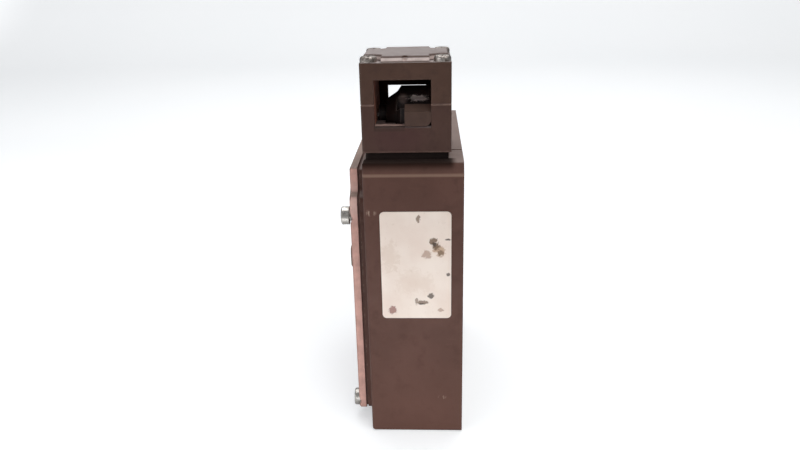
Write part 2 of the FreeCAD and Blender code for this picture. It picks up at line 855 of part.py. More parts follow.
def head_screws():
    """Four long pan head screws that clamp cap, base and plinth to the body."""
    screws = []
    r, h = head_screw_head_dia / 2, head_screw_head_height
    crown, brim = r * 0.78, h * 0.45
    along, across = head_screw_cross_length / 2, head_screw_cross_width / 2
    for x, y in head_screw_places():
        profile = [
            Part.LineSegment(Vec(0, 0, 0), Vec(r, 0, 0)).toShape(),
            Part.LineSegment(Vec(r, 0, 0), Vec(r, 0, brim)).toShape(),
            Part.Arc(Vec(r, 0, brim), Vec(r * 0.93, 0, h * 0.8), Vec(crown, 0, h)).toShape(),
            Part.LineSegment(Vec(crown, 0, h), Vec(0, 0, h)).toShape(),
            Part.LineSegment(Vec(0, 0, h), Vec(0, 0, 0)).toShape(),
        ]
        head = Part.Face(Part.Wire(profile)).revolve(Vec(0, 0, 0), Z_AXIS, 360)
        head.translate(Vec(x, y, z_head_top))
        shank = rod_z(head_screw_dia / 2, z_top - head_screw_bite, z_head_top, x, y)
        cross = [box(x - a, x + a, y - b, y + b, z_head_top + h * 0.4, z_head_top + h + 1)
                 for a, b in ((along, across), (across, along))]
        screws.append(fuse(head, shank).cut(cross))
    return Part.makeCompound(screws)


def tongue_guide():
    """Guide block in the window: lead-in ramp on top, rounded lower corner."""
    x1 = head_x1 - guide_setback
    x0 = x1 - guide_length
    y1, y0 = window_y1, window_y1 - guide_width
    side = Part.makePolygon([
        Vec(x0, y0, window_z0), Vec(x1, y0, window_z0), Vec(x1, y0, window_z0 + guide_front_rise),
        Vec(x0, y0, window_z0 + guide_back_rise), Vec(x0, y0, window_z0)])
    block = Part.Face(side).extrude(Vec(0, y1 - y0, 0))
    lower = [e for e in block.Edges
             if e.BoundBox.YMin > y1 - 0.01 and e.BoundBox.ZMax < window_z0 + 0.01]
    return block.makeFillet(guide_radius, lower)


# ---------------------------------------------------------------- cam, pin, plunger
def cam_profile_point(turn):
    """Relief surface that a round tip follows while it rises evenly with the turn."""
    rate = plunger_lift / radians(cam_swing)
    path = cam_radius + tip_gap + tip_radius - rate * radians(turn)
    angle = radians(-90 - turn)
    out = Vec(cos(angle), 0, sin(angle))
    along = Vec(sin(angle), 0, -cos(angle))
    tangent = along * path - out * rate
    normal = (out * path + along * rate) * (1 / hypot(path, rate))
    assert abs(tangent.dot(normal)) < 1e-6
    return out * path - normal * (tip_radius + tip_gap)


def cam_relief():
    reach = tip_radius + 2 * contact_gap
    y0, y1 = head_y - reach, head_y + reach
    start = Vec(head_x, y0, cam_z)
    steps = 7
    points = [start + cam_profile_point(cam_swing * i / steps) for i in range(steps + 1)]
    spiral = Part.BSplineCurve()
    spiral.interpolate(points)
    floor = cam_radius - plunger_lift
    last = points[-1] - start
    low_angle = degrees(atan2(last.z, last.x))
    outer = cam_radius + 2
    wall = start + Vec(-outer, 0, 0)
    edges = [
        spiral.toShape(),
        Part.LineSegment(points[-1], start + last * (floor / last.Length)).toShape(),
        arc(head_x, cam_z, floor, low_angle, -180, y0),
        Part.LineSegment(start + Vec(-floor, 0, 0), wall).toShape(),
        arc(head_x, cam_z, outer, -180, -90, y0),
        Part.LineSegment(start + Vec(0, 0, -outer), points[0]).toShape(),
    ]
    return Part.Face(Part.Wire(edges)).extrude(Vec(0, y1 - y0, 0))


def actuating_cam():
    profile = [(cam_y0, 0), (cam_y0, cam_hub_radius), (cone_y0, cam_hub_radius), (cone_y0, cam_cone_foot),
               (cone_y1, cam_cone_radius), (disc_y0, cam_radius), (cam_y1, cam_radius), (cam_y1, 0)]
    ring = Part.makePolygon([Vec(head_x, y, cam_z + r) for y, r in profile + profile[:1]])
    cam = Part.Face(ring).revolve(Vec(head_x, 0, cam_z), Y_AXIS, 360)
    cuts = [cam_relief(), rod_y(cam_pin_dia / 2 + running_fit, cam_y0 - 1, cam_y1 + 1, head_x, cam_z)]
    root = cam_radius - cam_notch_depth + cam_notch_width / 2
    for angle in (cam_notch_angle, 180 - cam_notch_angle):
        notch = fuse(
            rod_y(cam_notch_width / 2, cone_y1, cam_y1 + 1, head_x + root, cam_z),
            box(head_x + root, head_x + cam_radius + 2, cone_y1, cam_y1 + 1,
                cam_z - cam_notch_width / 2, cam_z + cam_notch_width / 2))
        notch.rotate(Vec(head_x, 0, cam_z), Y_AXIS, -angle)
        cuts.append(notch)
    return cam.cut(cuts)


def cam_pin():
    return rod_y(cam_pin_dia / 2, pin_y0, pin_y1, head_x, cam_z)


def plunger_rod():
    neck, body = plunger_neck_dia / 2, plunger_body_dia / 2
    low = solenoid_z - plunger_lift
    tip = fuse(rod_z(tip_radius, plunger_body_top, z_tip - tip_radius, head_x, head_y),
               Part.makeSphere(tip_radius, Vec(head_x, head_y, z_tip - tip_radius)))
    shaft = rod_z(body, plunger_body_bottom, plunger_body_top, head_x, head_y)
    for z in (solenoid_z, low):
        collar = rod_z(body + 1, z - groove_height / 2, z + groove_height / 2, head_x, head_y)
        shaft = shaft.cut(collar.cut(rod_z(neck, z - groove_height, z + groove_height, head_x, head_y)))
    return fuse(shaft, tip)


def plunger_bush():
    sleeve = rod_z(bush_dia / 2 - fixed_fit, z_cavity_top, z_top, head_x, head_y)
    flange = rod_z(bush_flange_dia / 2, z_cavity_top - bush_flange, z_cavity_top, head_x, head_y)
    bore = rod_z(tip_radius + running_fit, z_cavity_top - 2 * bush_flange, z_top + 1, head_x, head_y)
    return fuse(sleeve, flange).cut(bore)


# ---------------------------------------------------------------- contact block
def bridge_z(level):
    return level + contact_strip / 2


def fixed_z(level):
    """Underside of the fixed contacts of a level."""
    return bridge_z(level) + plunger_lift + contact_gap


def terminal_screw_z(level):
    return fixed_z(level) + contact_strip - terminal_height / 2 - terminal_screw_drop


def contact_sides():
    offset = (block_width - contact_strip - terminal_width) / 2 - terminal_side_gap
    return [head_x - offset, head_x + offset]


def fixed_strip_x(x):
    """Inner strip of a fixed contact: from the window end to just clear of the carriage."""
    outer = block_width / 2 - block_wall
    inner = carriage_size / 2 + 1.5 * contact_gap
    a, b = sorted((head_x + (outer if x > head_x else -outer), head_x + (inner if x > head_x else -inner)))
    return a, b


def contact_block():
    block = rounded_box(head_x - block_width / 2, head_x + block_width / 2, block_y0, block_y1,
                        block_bottom, block_top, block_edge_radius, Y_AXIS)
    c = channel_size / 2
    cuts = [box(head_x - c, head_x + c, head_y - c, head_y + c, channel_floor, block_top + 1)]
    reach = block_width / 2 - block_wall
    half_tab = terminal_width / 2 + terminal_play
    half = contact_width / 2 + contact_gap + slide_fit
    for level in contact_levels:
        z1 = fixed_z(level) + contact_strip
        cuts.append(box(head_x - reach, head_x + reach, head_y - half, head_y + half,
                        level - contact_strip / 2 - contact_gap, z1))
        for x in contact_sides():
            a, b = fixed_strip_x(x)
            cuts.append(box(a, b, block_y0 + 1, head_y, fixed_z(level), z1))
            cuts.append(box(x - half_tab, x + half_tab, block_y0 - 1, y_tab,
                            z1 - terminal_height - terminal_gap, z1 + terminal_gap))
            cuts.append(rod_y(terminal_screw_dia / 2 + screw_fit, y_tab - 1, y_tab + terminal_screw_length,
                              x, terminal_screw_z(level)))
    for x, z, _ in m3_posts()["block"]:
        cuts.append(rod_y(m3_dia / 2 + screw_fit, block_y0 - 1, block_y1 + 1, x, z))
    return block.cut(cuts)


def fixed_contacts():
    strips = []
    for level in contact_levels:
        z0, z1 = fixed_z(level), fixed_z(level) + contact_strip
        for x in contact_sides():
            a, b = fixed_strip_x(x)
            blade = box(a, b, y_tab - contact_strip, head_y + contact_width / 2, z0, z1)
            tab = box(x - terminal_width / 2, x + terminal_width / 2, y_tab - contact_strip, y_tab,
                      z1 - terminal_height, z1)
            hole = rod_y(terminal_screw_dia / 2 + screw_fit, y_tab - 2, y_tab + 1, x, terminal_screw_z(level))
            strips.append(fuse(blade, tab).cut(hole))
    return Part.makeCompound(strips)


def terminal_screws():
    screws = []
    for level in contact_levels:
        for x in contact_sides():
            screws.append(screw_y(x, terminal_screw_z(level), terminal_screw_dia, y_tab - contact_strip,
                                  terminal_screw_length, terminal_head_dia, terminal_head, "slot"))
    return Part.makeCompound(screws)


def contact_carriage():
    c = carriage_size / 2
    bar = box(head_x - c, head_x + c, head_y - c, head_y + c, carriage_bottom, plunger_body_bottom)
    slots = [box(head_x - c - 1, head_x + c + 1, head_y - contact_width / 2, head_y + contact_width / 2,
                 level - contact_strip / 2, level + contact_strip / 2) for level in contact_levels]
    return bar.cut(slots)


def moving_contacts():
    half = bridge_length / 2
    return Part.makeCompound([
        box(head_x - half, head_x + half, head_y - contact_width / 2, head_y + contact_width / 2,
            level - contact_strip / 2, level + contact_strip / 2) for level in contact_levels])


def return_spring():
    spring = coil_spring(return_spring_dia, return_spring_wire, return_spring_turns,
                         carriage_bottom - channel_floor)
    spring.translate(Vec(head_x, head_y, channel_floor))
    return spring


# ---------------------------------------------------------------- solenoid and lock bolt
def solenoid_yoke():
    y0 = head_y - yoke_width / 2
    z0, z1 = solenoid_z - yoke_height / 2, solenoid_z + yoke_height / 2
    left = box(yoke_left, yoke_left + yoke_plate, y0, y_yoke_back, z0, z1)
    right = box(yoke_right - yoke_plate, yoke_right, y0, y_yoke_back, z0, z1)
    back = box(yoke_left, yoke_right, y_plate_front, y_yoke_back, z0 - yoke_ear, z1)
    r = armature_dia / 2
    bores = [
        rod_x(r + slide_fit, yoke_left - 1, yoke_left + yoke_plate + 1, head_y, solenoid_z),
        rod_x(r + fixed_fit, yoke_right - yoke_plate - 1, yoke_right + 1, head_y, solenoid_z),
    ]
    bores += [rod_y(m3_dia / 2 + screw_fit, y_plate_front - 1, y_yoke_back + 1, x, z)
              for x, z, _ in m3_posts()["yoke"]]
    return fuse(back, left, right).cut(bores)


def behind_yoke_plate(x0, x1):
    """Space behind the front of the yoke's back plate, where coil and bobbin are flattened."""
    z0, z1 = solenoid_z - yoke_height / 2, solenoid_z + yoke_height / 2
    return box(x0 - 1, x1 + 1, y_plate_front, y_plate_front + yoke_width, z0, z1)


def coil_bobbin():
    x0, x1 = yoke_left + yoke_plate, yoke_right - yoke_plate
    flange_r = bobbin_flange_dia / 2
    bobbin = fuse(
        rod_x(bobbin_tube_dia / 2, x0, x1, head_y, solenoid_z),
        rod_x(flange_r, x0, x0 + bobbin_flange, head_y, solenoid_z),
        rod_x(flange_r, x1 - bobbin_flange, x1, head_y, solenoid_z))
    bobbin = bobbin.cut(behind_yoke_plate(x0, x1))
    return bobbin.cut(rod_x(armature_dia / 2 + slide_fit, x0 - 1, x1 + 1, head_y, solenoid_z))


def solenoid_coil():
    x0 = yoke_left + yoke_plate + bobbin_flange
    x1 = yoke_right - yoke_plate - bobbin_flange
    coil = rod_x(coil_dia / 2, x0, x1, head_y, solenoid_z)
    coil = coil.cut(behind_yoke_plate(x0, x1))
    return coil.cut(rod_x(bobbin_tube_dia / 2 + fixed_fit, x0 - 1, x1 + 1, head_y, solenoid_z))


def solenoid_core():
    core = rod_x(armature_dia / 2, core_x0, yoke_right, head_y, solenoid_z)
    return core.cut(rod_x(bolt_rod_dia / 2 + slide_fit, core_x0 - 1, yoke_right + 1, head_y, solenoid_z))


def solenoid_armature():
    body = rod_x(armature_dia / 2, armature_x0, armature_x1, head_y, solenoid_z)
    return fuse(body, rod_x(armature_washer_dia / 2, armature_x0, armature_x0 + armature_washer,
                            head_y, solenoid_z))


def lock_bolt():
    half, thick = bolt_width / 2, bolt_thickness / 2
    rod = rod_x(bolt_rod_dia / 2, armature_x1, bolt_collar_x0 + bolt_collar, head_y, solenoid_z)
    collar = rod_x(bolt_collar_dia / 2, bolt_collar_x0, bolt_collar_x0 + bolt_collar, head_y, solenoid_z)
    bar = box(bolt_collar_x0 + bolt_collar, bolt_tip_x, head_y - half, head_y + half,
              solenoid_z - thick, solenoid_z + thick)
    root = bolt_tip_x - fork_depth + fork_slot / 2
    slot = fuse(
        rod_z(fork_slot / 2, solenoid_z - bolt_width, solenoid_z + bolt_width, root, head_y),
        box(root, bolt_tip_x + 1, head_y - fork_slot / 2, head_y + fork_slot / 2,
            solenoid_z - bolt_width, solenoid_z + bolt_width))
    ear = box(bolt_collar_x0, bolt_collar_x0 + bolt_collar, y_ear, head_y,
              solenoid_z - bolt_ear_width / 2, solenoid_z + bolt_ear_width / 2)
    return fuse(rod, collar, ear, bar.cut(slot))


def bolt_guide():
    z0, z1 = solenoid_z - guide_plate_height / 2, solenoid_z + guide_plate_height / 2
    plate = box(guide_x0, guide_x1, head_y - bolt_width / 2 - guide_plate_wall, y_yoke_back, z0, z1)
    foot = box(guide_x0 - guide_foot, guide_x1, y_plate_front, y_yoke_back, z0, z1)
    half_y, half_z = bolt_width / 2 + slide_fit, bolt_thickness / 2 + slide_fit
    window = box(guide_x0 - 1, guide_x1 + 1, head_y - half_y, head_y + half_y,
                 solenoid_z - half_z, solenoid_z + half_z)
    holes = [rod_y(m3_dia / 2 + screw_fit, y_plate_front - 1, y_yoke_back + 1, x, z)
             for x, z, _ in m3_posts()["guide"]]
    return fuse(plate, foot).cut([window] + holes)


def bolt_spring():
    x0 = bolt_collar_x0 + bolt_collar
    spring = coil_spring(bolt_spring_dia, bolt_spring_wire, bolt_spring_turns, guide_x0 - x0)
    spring.rotate(Vec(0, 0, 0), Y_AXIS, 90)
    spring.translate(Vec(x0, head_y, solenoid_z))
    return spring


# ---------------------------------------------------------------- wiring side
def terminal_strip():
    x1 = strip_left + strip_length
    z1 = strip_bottom + strip_height
    y1 = -strip_from_back
    y0 = y1 - strip_depth
    strip = rounded_box(strip_left, x1, y0, y1, strip_bottom, z1, strip_edge_radius, Y_AXIS)
    cuts = [rod_y(m3_dia / 2 + screw_fit, y0 - 1, y1 + 1, x, z) for x, z, _ in m3_posts()["strip"]]
    for x, z in strip_screw_places():
        cuts.append(rod_y(strip_well_dia / 2, y0 - 1, y0 + strip_well_depth, x, z))
        cuts.append(rod_y(strip_screw_dia / 2 + screw_fit, y0, y0 + strip_bore_depth, x, z))
        cuts.append(rod_z(strip_wire_dia / 2, strip_bottom - 1, strip_bottom + strip_wire_depth,
                          x, y0 + strip_wire_from_front))
    return strip.cut(cuts)


def strip_screw_places():
    pitch = (strip_length - 2 * strip_end) / strip_ways
    z = strip_bottom + strip_height / 2 + strip_screw_rise
    return [(strip_left + strip_end + pitch * (i + 0.5), z) for i in range(strip_ways)]


def strip_screws():
    seat = -strip_from_back - strip_depth + strip_well_depth
    return Part.makeCompound([
        screw_y(x, z, strip_screw_dia, seat, strip_screw_length, strip_head_dia, strip_head, "slot")
        for x, z in strip_screw_places()])


def earth_terminal():
    """Clamp washer under the earth screw."""
    half = earth_clamp_size / 2
    plate = rounded_box(earth_x - half, earth_x + half, y_earth - earth_clamp_thickness, y_earth,
                        earth_z - half, earth_z + half, earth_clamp_radius, Y_AXIS)
    return plate.cut(rod_y(earth_screw_dia / 2 + 2 * screw_fit, y_earth - 2, y_earth + 1, earth_x, earth_z))


def earth_screw():
    return screw_y(earth_x, earth_z, earth_screw_dia, y_earth - earth_clamp_thickness, earth_screw_length,
                   earth_head_dia, earth_head, "slot")


def m3_screws(group, seat_gap):
    return Part.makeCompound([
        screw_y(x, z, m3_dia, y_seat - seat_gap, seat_gap - y_seat - 1.5 * m3_end_skin,
                m3_head_dia, m3_head, "slot")
        for x, z, y_seat in m3_posts()[group]])


def blanking_plug():
    x, y = -conduit_pitch / 2, -conduit_from_back
    z0 = z_base + plug_sink
    plug = rod_z(conduit_bore_dia / 2 - fixed_fit, z0, z0 + plug_length, x, y)
    lower = [e for e in plug.Edges if e.BoundBox.ZMax < z0 + 0.01]
    plug = plug.makeChamfer(plug_chamfer, lower)
    r = plug_hex / sqrt(3)
    corners = [Vec(x + r * cos(pi / 3 * i), y + r * sin(pi / 3 * i), z0 - 1) for i in range(6)]
    return plug.cut(Part.Face(Part.makePolygon(corners + corners[:1])).extrude(Vec(0, 0, plug_hex_depth + 1)))


def label_plate():
    y1 = -label_from_back
    z0 = z_base + label_bottom_above_base
    x0 = body_width / 2
    return rounded_box(x0, x0 + label_thickness, y1 - label_width, y1, z0, z0 + label_height,
                       label_radius, X_AXIS)


# ---------------------------------------------------------------- build
NODES = {
    "body_housing": body_housing,
    "front_cover": front_cover,
    "cover_gasket": cover_gasket,
    "cover_screws": cover_screws,
    "manual_release": manual_release,
    "release_clip": release_clip_ring,
    "indicator_lens": indicator_lens,
    "indicator_dots": indicator_dots,
    "indicator_board": indicator_board,
    "board_leds": board_leds,
    "board_screws": board_screws,
    "label_plate": label_plate,
    "head_plinth": head_plinth,
    "head_base": head_base,
    "head_cap": head_cap,
    "head_screws": head_screws,
    "tongue_guide": tongue_guide,
    "actuating_cam": actuating_cam,
    "cam_pin": cam_pin,
    "plunger_rod": plunger_rod,
    "plunger_bush": plunger_bush,
    "return_spring": return_spring,
    "contact_block": contact_block,
    "fixed_contacts": fixed_contacts,
    "terminal_screws": terminal_screws,
    "contact_carriage": contact_carriage,
    "moving_contacts": moving_contacts,
    "block_screws": lambda: m3_screws("block", block_depth),
    "solenoid_yoke": solenoid_yoke,
    "coil_bobbin": coil_bobbin,
    "solenoid_coil": solenoid_coil,
    "solenoid_core": solenoid_core,
    "solenoid_armature": solenoid_armature,
    "lock_bolt": lock_bolt,
    "bolt_spring": bolt_spring,
    "bolt_guide": bolt_guide,
    "yoke_screws": lambda: m3_screws("yoke", yoke_back_plate),
    "guide_screws": lambda: m3_screws("guide", yoke_back_plate),
    "terminal_strip": terminal_strip,
    "strip_terminal_screws": strip_screws,
    "strip_fixing_screws": lambda: m3_screws("strip", strip_depth),
    "earth_terminal": earth_terminal,
    "earth_screw": earth_screw,
    "blanking_plug": blanking_plug,
}

os.makedirs("parts", exist_ok=True)
for name, make in NODES.items():
    shape = make()
    shape.exportStep("parts/" + name + ".step")
    print(name, len(shape.Solids), shape.isValid(), round(shape.Volume, 1))
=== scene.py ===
import json
from math import atan2, cos, pi, sin

import bmesh
import bpy
from mathutils import Matrix, Vector


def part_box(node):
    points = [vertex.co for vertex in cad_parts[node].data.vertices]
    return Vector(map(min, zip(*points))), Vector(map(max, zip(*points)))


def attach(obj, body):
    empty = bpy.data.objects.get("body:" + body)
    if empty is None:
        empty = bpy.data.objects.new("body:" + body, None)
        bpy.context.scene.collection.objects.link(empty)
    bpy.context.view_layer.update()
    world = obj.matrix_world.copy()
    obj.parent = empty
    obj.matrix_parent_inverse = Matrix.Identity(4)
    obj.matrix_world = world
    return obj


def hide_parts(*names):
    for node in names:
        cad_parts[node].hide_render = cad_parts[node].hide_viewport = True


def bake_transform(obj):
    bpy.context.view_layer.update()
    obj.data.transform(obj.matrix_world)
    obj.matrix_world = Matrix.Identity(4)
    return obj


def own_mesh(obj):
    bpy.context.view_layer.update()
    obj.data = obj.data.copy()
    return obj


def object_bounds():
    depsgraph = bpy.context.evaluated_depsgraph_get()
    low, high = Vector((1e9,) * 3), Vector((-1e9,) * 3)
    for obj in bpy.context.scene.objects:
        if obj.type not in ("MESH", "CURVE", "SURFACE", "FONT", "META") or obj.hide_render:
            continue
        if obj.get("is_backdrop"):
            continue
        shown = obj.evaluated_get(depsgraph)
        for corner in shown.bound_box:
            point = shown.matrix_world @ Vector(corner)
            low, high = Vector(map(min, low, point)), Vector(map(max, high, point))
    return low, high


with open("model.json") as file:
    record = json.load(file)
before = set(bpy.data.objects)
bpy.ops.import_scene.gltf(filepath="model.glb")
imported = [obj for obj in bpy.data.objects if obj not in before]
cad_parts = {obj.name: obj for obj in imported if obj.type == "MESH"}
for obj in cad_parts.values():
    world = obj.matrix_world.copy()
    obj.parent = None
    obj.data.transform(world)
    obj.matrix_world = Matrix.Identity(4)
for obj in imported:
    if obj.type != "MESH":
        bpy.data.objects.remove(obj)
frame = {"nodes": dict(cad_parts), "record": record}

MM = 0.001
NODES = frame["nodes"]


def as_lists(value):
    if isinstance(value, dict):
        return {key: as_lists(item) for key, item in value.items()}
    if isinstance(value, (int, float, str)):
        return value
    return [as_lists(item) for item in value]


size_log = {"at_start": as_lists(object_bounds())}


# ---------------------------------------------------------------- where wear, painted light and painted shade show, in mm
# A band is (axis, start, end, softness). A spot is (centre, radii).
PAST_END = 60

# body
HEAD_SHADOW = [("X", 42.0, PAST_END, 0.6), ("Y", -36.5, -3.5, 1.5), ("Z", 54.9, PAST_END, 1.7)]
# a painted highlight along the body's shoulder edge
SHOULDER_EDGE = [("X", 47.5, PAST_END), ("Z", 52.0, 53.0, 0.35)]
SCUFFS = [((49, -33.0, 38.9), (6, 2.6, 1.6)), ((49, -7.8, -37.5), (6, 2.0, 1.4))]
# a painted highlight on the cover's side
COVER_SIDE_HIGHLIGHT = ((34, -41, 39), (12, 9, 9))

# head
HEAD_FRONT = ("X", 42.0, PAST_END, 0.5)
HEAD_LOWER = ("Z", 50, 76.3, 1.0)
HEAD_BLOOM = ((43.9, -23, 64.5), (20, 14, 8))
# painted highlights along the split and the foot edge; painted sheen on the cross step; painted shade
# in its notch
SPLIT_EDGE = ("Z", 75.85, 76.4, 0.1)
FOOT_EDGE = ("Z", 59.2, 59.9, 0.2)
CROSS_STEP = ("Z", 90.7, 91.8, 0.3)
CROSS_NOTCH = ((43.2, -19.95, 91.9), (1.6, 1.3, 1.2))

# tongue window in the head: the guide block covers its floor from GUIDE_SIDE on
WINDOW_SIDE, GUIDE_SIDE, WINDOW_FAR_SIDE = -31.2, -20.4, -11.0
WINDOW_FLOOR = ("Y", WINDOW_SIDE, GUIDE_SIDE, 0.1)
FLOOR_FACE = ("Z", 68.3, 68.9, 0.1)
# painted shade on the rounded sill
FLOOR_LIP = [("X", 42.3, PAST_END, 0.2), ("Z", 67.0, 68.5, 0.2)]
WINDOW_MATT = [("X", 14, 42.6, 0.6), ("Y", WINDOW_SIDE, WINDOW_FAR_SIDE, 0.1), ("Z", 67, 85, 0.2)]
# the window's walls, painted lighter in place of light reaching in
WINDOW_WALLS = [
    ("X", 18, 42.3, 0.6), ("Y", WINDOW_SIDE - 0.2, WINDOW_FAR_SIDE + 0.2, 0.1),
    ("Z", 68.9, 84.4, 0.2)]
# painted shade on the floor ahead of and behind the pale line
AHEAD_OF_LINE = ("X", 42.4, PAST_END, 0.2)
BEHIND_LINE = ("X", 0, 38.7, 0.3)
# the pale line: wear and the sill's painted highlight
WORN_AND_HIGHLIGHT_LINE = ("X", 38.9, 42.2, 0.3)

# cam: a painted highlight on the flank; the lip is rubbed bright and carries a painted glint
CAM_FLANK = ((35.5, -21.3, 76.4), (6, 2.6, 2.6))
CAM_LIP = ((35.7, -15.9, 76.6), (9, 4.2, 1.6))

# label: the plane it lies on, and how far a smear reaches along X
LABEL_X, SMEAR_REACH = 49.2, 9


# ---------------------------------------------------------------- node helpers
class Graph:
    """Thin wrapper that adds and wires shader nodes. A texture's scale counts repeats per metre."""

    def __init__(self, name):
        self.mat = bpy.data.materials.new(name)
        self.mat.use_nodes = True
        self.tree = self.mat.node_tree
        self.bsdf = self.tree.nodes["Principled BSDF"]
        coords = self.add("ShaderNodeTexCoord")
        self.pos = coords.outputs["Object"]
        geometry = self.add("ShaderNodeNewGeometry")
        self.normal = geometry.outputs["Normal"]
        self.smooth_normal = None
        self.matt = None

    def add(self, kind, **props):
        node = self.tree.nodes.new(kind)
        for key, value in props.items():
            setattr(node, key, value)
        return node

    def feed(self, socket, value):
        if isinstance(value, bpy.types.NodeSocket):
            self.tree.links.new(value, socket)
        else:
            socket.default_value = value

    def noise(self, scale, detail=4.0, rough=0.55, vector=None, distortion=0.0):
        node = self.add("ShaderNodeTexNoise")
        self.feed(node.inputs["Vector"], vector if vector is not None else self.pos)
        node.inputs["Scale"].default_value = scale
        node.inputs["Detail"].default_value = detail
        node.inputs["Roughness"].default_value = rough
        node.inputs["Distortion"].default_value = distortion
        return node.outputs["Fac"]

    def cells(self, scale, feature="F1", vector=None):
        node = self.add("ShaderNodeTexVoronoi", feature=feature)
        self.feed(node.inputs["Vector"], vector if vector is not None else self.pos)
        node.inputs["Scale"].default_value = scale
        return node.outputs["Distance"]

    def remap(self, value, low, high, out_low=0.0, out_high=1.0, smooth=True):
        node = self.add("ShaderNodeMapRange")
        node.interpolation_type = "SMOOTHSTEP" if smooth else "LINEAR"
        self.feed(node.inputs["Value"], value)
        node.inputs["From Min"].default_value = low
        node.inputs["From Max"].default_value = high
        node.inputs["To Min"].default_value = out_low
        node.inputs["To Max"].default_value = out_high
        return node.outputs["Result"]

    def math(self, op, a, b=0.0):
        node = self.add("ShaderNodeMath", operation=op)
        self.feed(node.inputs[0], a)
        self.feed(node.inputs[1], b)
        return node.outputs[0]

    def scaled(self, x, y, z):
        node = self.add("ShaderNodeMapping")
        self.feed(node.inputs["Vector"], self.pos)
        node.inputs["Scale"].default_value = (x, y, z)
        return node.outputs["Vector"]

    def mix(self, factor, a, b):
        node = self.add("ShaderNodeMix", data_type="RGBA")
        self.feed(node.inputs["Factor"], factor)
        colour_in = [s for s in node.inputs if s.type == "RGBA"]
        self.feed(colour_in[0], a)
        self.feed(colour_in[1], b)
        return [s for s in node.outputs if s.type == "RGBA"][0]

    def tint(self, mask, amount, colour, paint):
        """Lays paint over a colour where the mask is 1, as thick as the amount."""
        return self.mix(self.math("MULTIPLY", mask, amount), colour, paint)

    def axis(self, which, vector=None):
        node = self.add("ShaderNodeSeparateXYZ")
        self.feed(node.inputs[0], vector if vector is not None else self.pos)
        return node.outputs[which]

    def reach(self, centre, radii):
        """0 at a point (mm), 1 on an ellipsoid of the given radii (mm) round it."""
        shift = self.add("ShaderNodeMapping", vector_type="TEXTURE")
        self.feed(shift.inputs["Vector"], self.pos)
        shift.inputs["Location"].default_value = [c * MM for c in centre]
        shift.inputs["Scale"].default_value = [r * MM for r in radii]
        length = self.add("ShaderNodeVectorMath", operation="LENGTH")
        self.feed(length.inputs[0], shift.outputs["Vector"])
        return length.outputs["Value"]

    def spot(self, centre, radii):
        """1 at a point, falling to 0 at an ellipsoid round it."""
        return self.remap(self.reach(centre, radii), 0.25, 1.0, 1.0, 0.0)

    def smear(self, centre, radii, ragged):
        """A blot with a torn outline."""
        torn = self.math("MULTIPLY", self.math("SUBTRACT", ragged, 0.5), 2.6)
        return self.remap(self.math("ADD", self.reach(centre, radii), torn), 0.6, 0.95, 1.0, 0.0)

    def band(self, which, start, end, soft=0.2):
        """1 between two places (mm) along an axis, with soft ends."""
        along = self.axis(which)
        rise = self.remap(along, (start - soft) * MM, (start + soft) * MM)
        fall = self.remap(along, (end - soft) * MM, (end + soft) * MM, 1.0, 0.0)
        return self.math("MULTIPLY", rise, fall)

    def both(self, *masks):
        last = masks[0]
        for mask in masks[1:]:
            last = self.math("MULTIPLY", last, mask)
        return last

    def block(self, bands):
        """1 inside all of the bands."""
        return self.both(*[self.band(*band) for band in bands])

    def bevel_normal(self, radius):
        node = self.add("ShaderNodeBevel", samples=6)
        node.inputs["Radius"].default_value = radius * MM
        return node.outputs["Normal"]

    def rounded(self, radius):
        self.smooth_normal = self.bevel_normal(radius)

    def edges(self, radius, low=0.02, high=0.22):
        """1 on edges, where chips of wear and painted highlights go: where the rounded normal leaves
        the true one.
        """
        dot = self.add("ShaderNodeVectorMath", operation="DOT_PRODUCT")
        self.feed(dot.inputs[0], self.bevel_normal(radius))
        self.feed(dot.inputs[1], self.normal)
        off = self.math("SUBTRACT", 1.0, dot.outputs["Value"])
        return self.remap(off, low, high)

    def up_facing(self):
        return self.remap(self.axis("Z", self.normal), 0.5, 0.95)

    def bump(self, heights):
        """Chains bumps: each is (height socket, distance in mm, strength)."""
        last = self.smooth_normal
        for height, distance, strength in heights:
            node = self.add("ShaderNodeBump")
            node.inputs["Strength"].default_value = strength
            node.inputs["Distance"].default_value = distance * MM
            self.feed(node.inputs["Height"], height)
            if last is not None:
                self.feed(node.inputs["Normal"], last)
            last = node.outputs["Normal"]
        if last is not None:
            self.feed(self.bsdf.inputs["Normal"], last)

    def out(self, colour, rough, metallic=0.0, specular=0.5, coat=0.0):
        self.feed(self.bsdf.inputs["Base Color"], colour)
        self.feed(self.bsdf.inputs["Roughness"], rough)
        self.feed(self.bsdf.inputs["Metallic"], metallic)
        self.feed(self.bsdf.inputs["Specular IOR Level"], specular)
        self.bsdf.inputs["Coat Weight"].default_value = coat
        return self.mat


def srgb(r, g, b):
    def one(v):
        v = v / 255
        return v / 12.92 if v <= 0.04045 else ((v + 0.055) / 1.055) ** 2.4
    return (one(r), one(g), one(b), 1.0)


# ---------------------------------------------------------------- painted castings
SHEEN_SPECULAR, MATT_SPECULAR, MATT_ROUGHER = 0.28, 0.04, 0.35


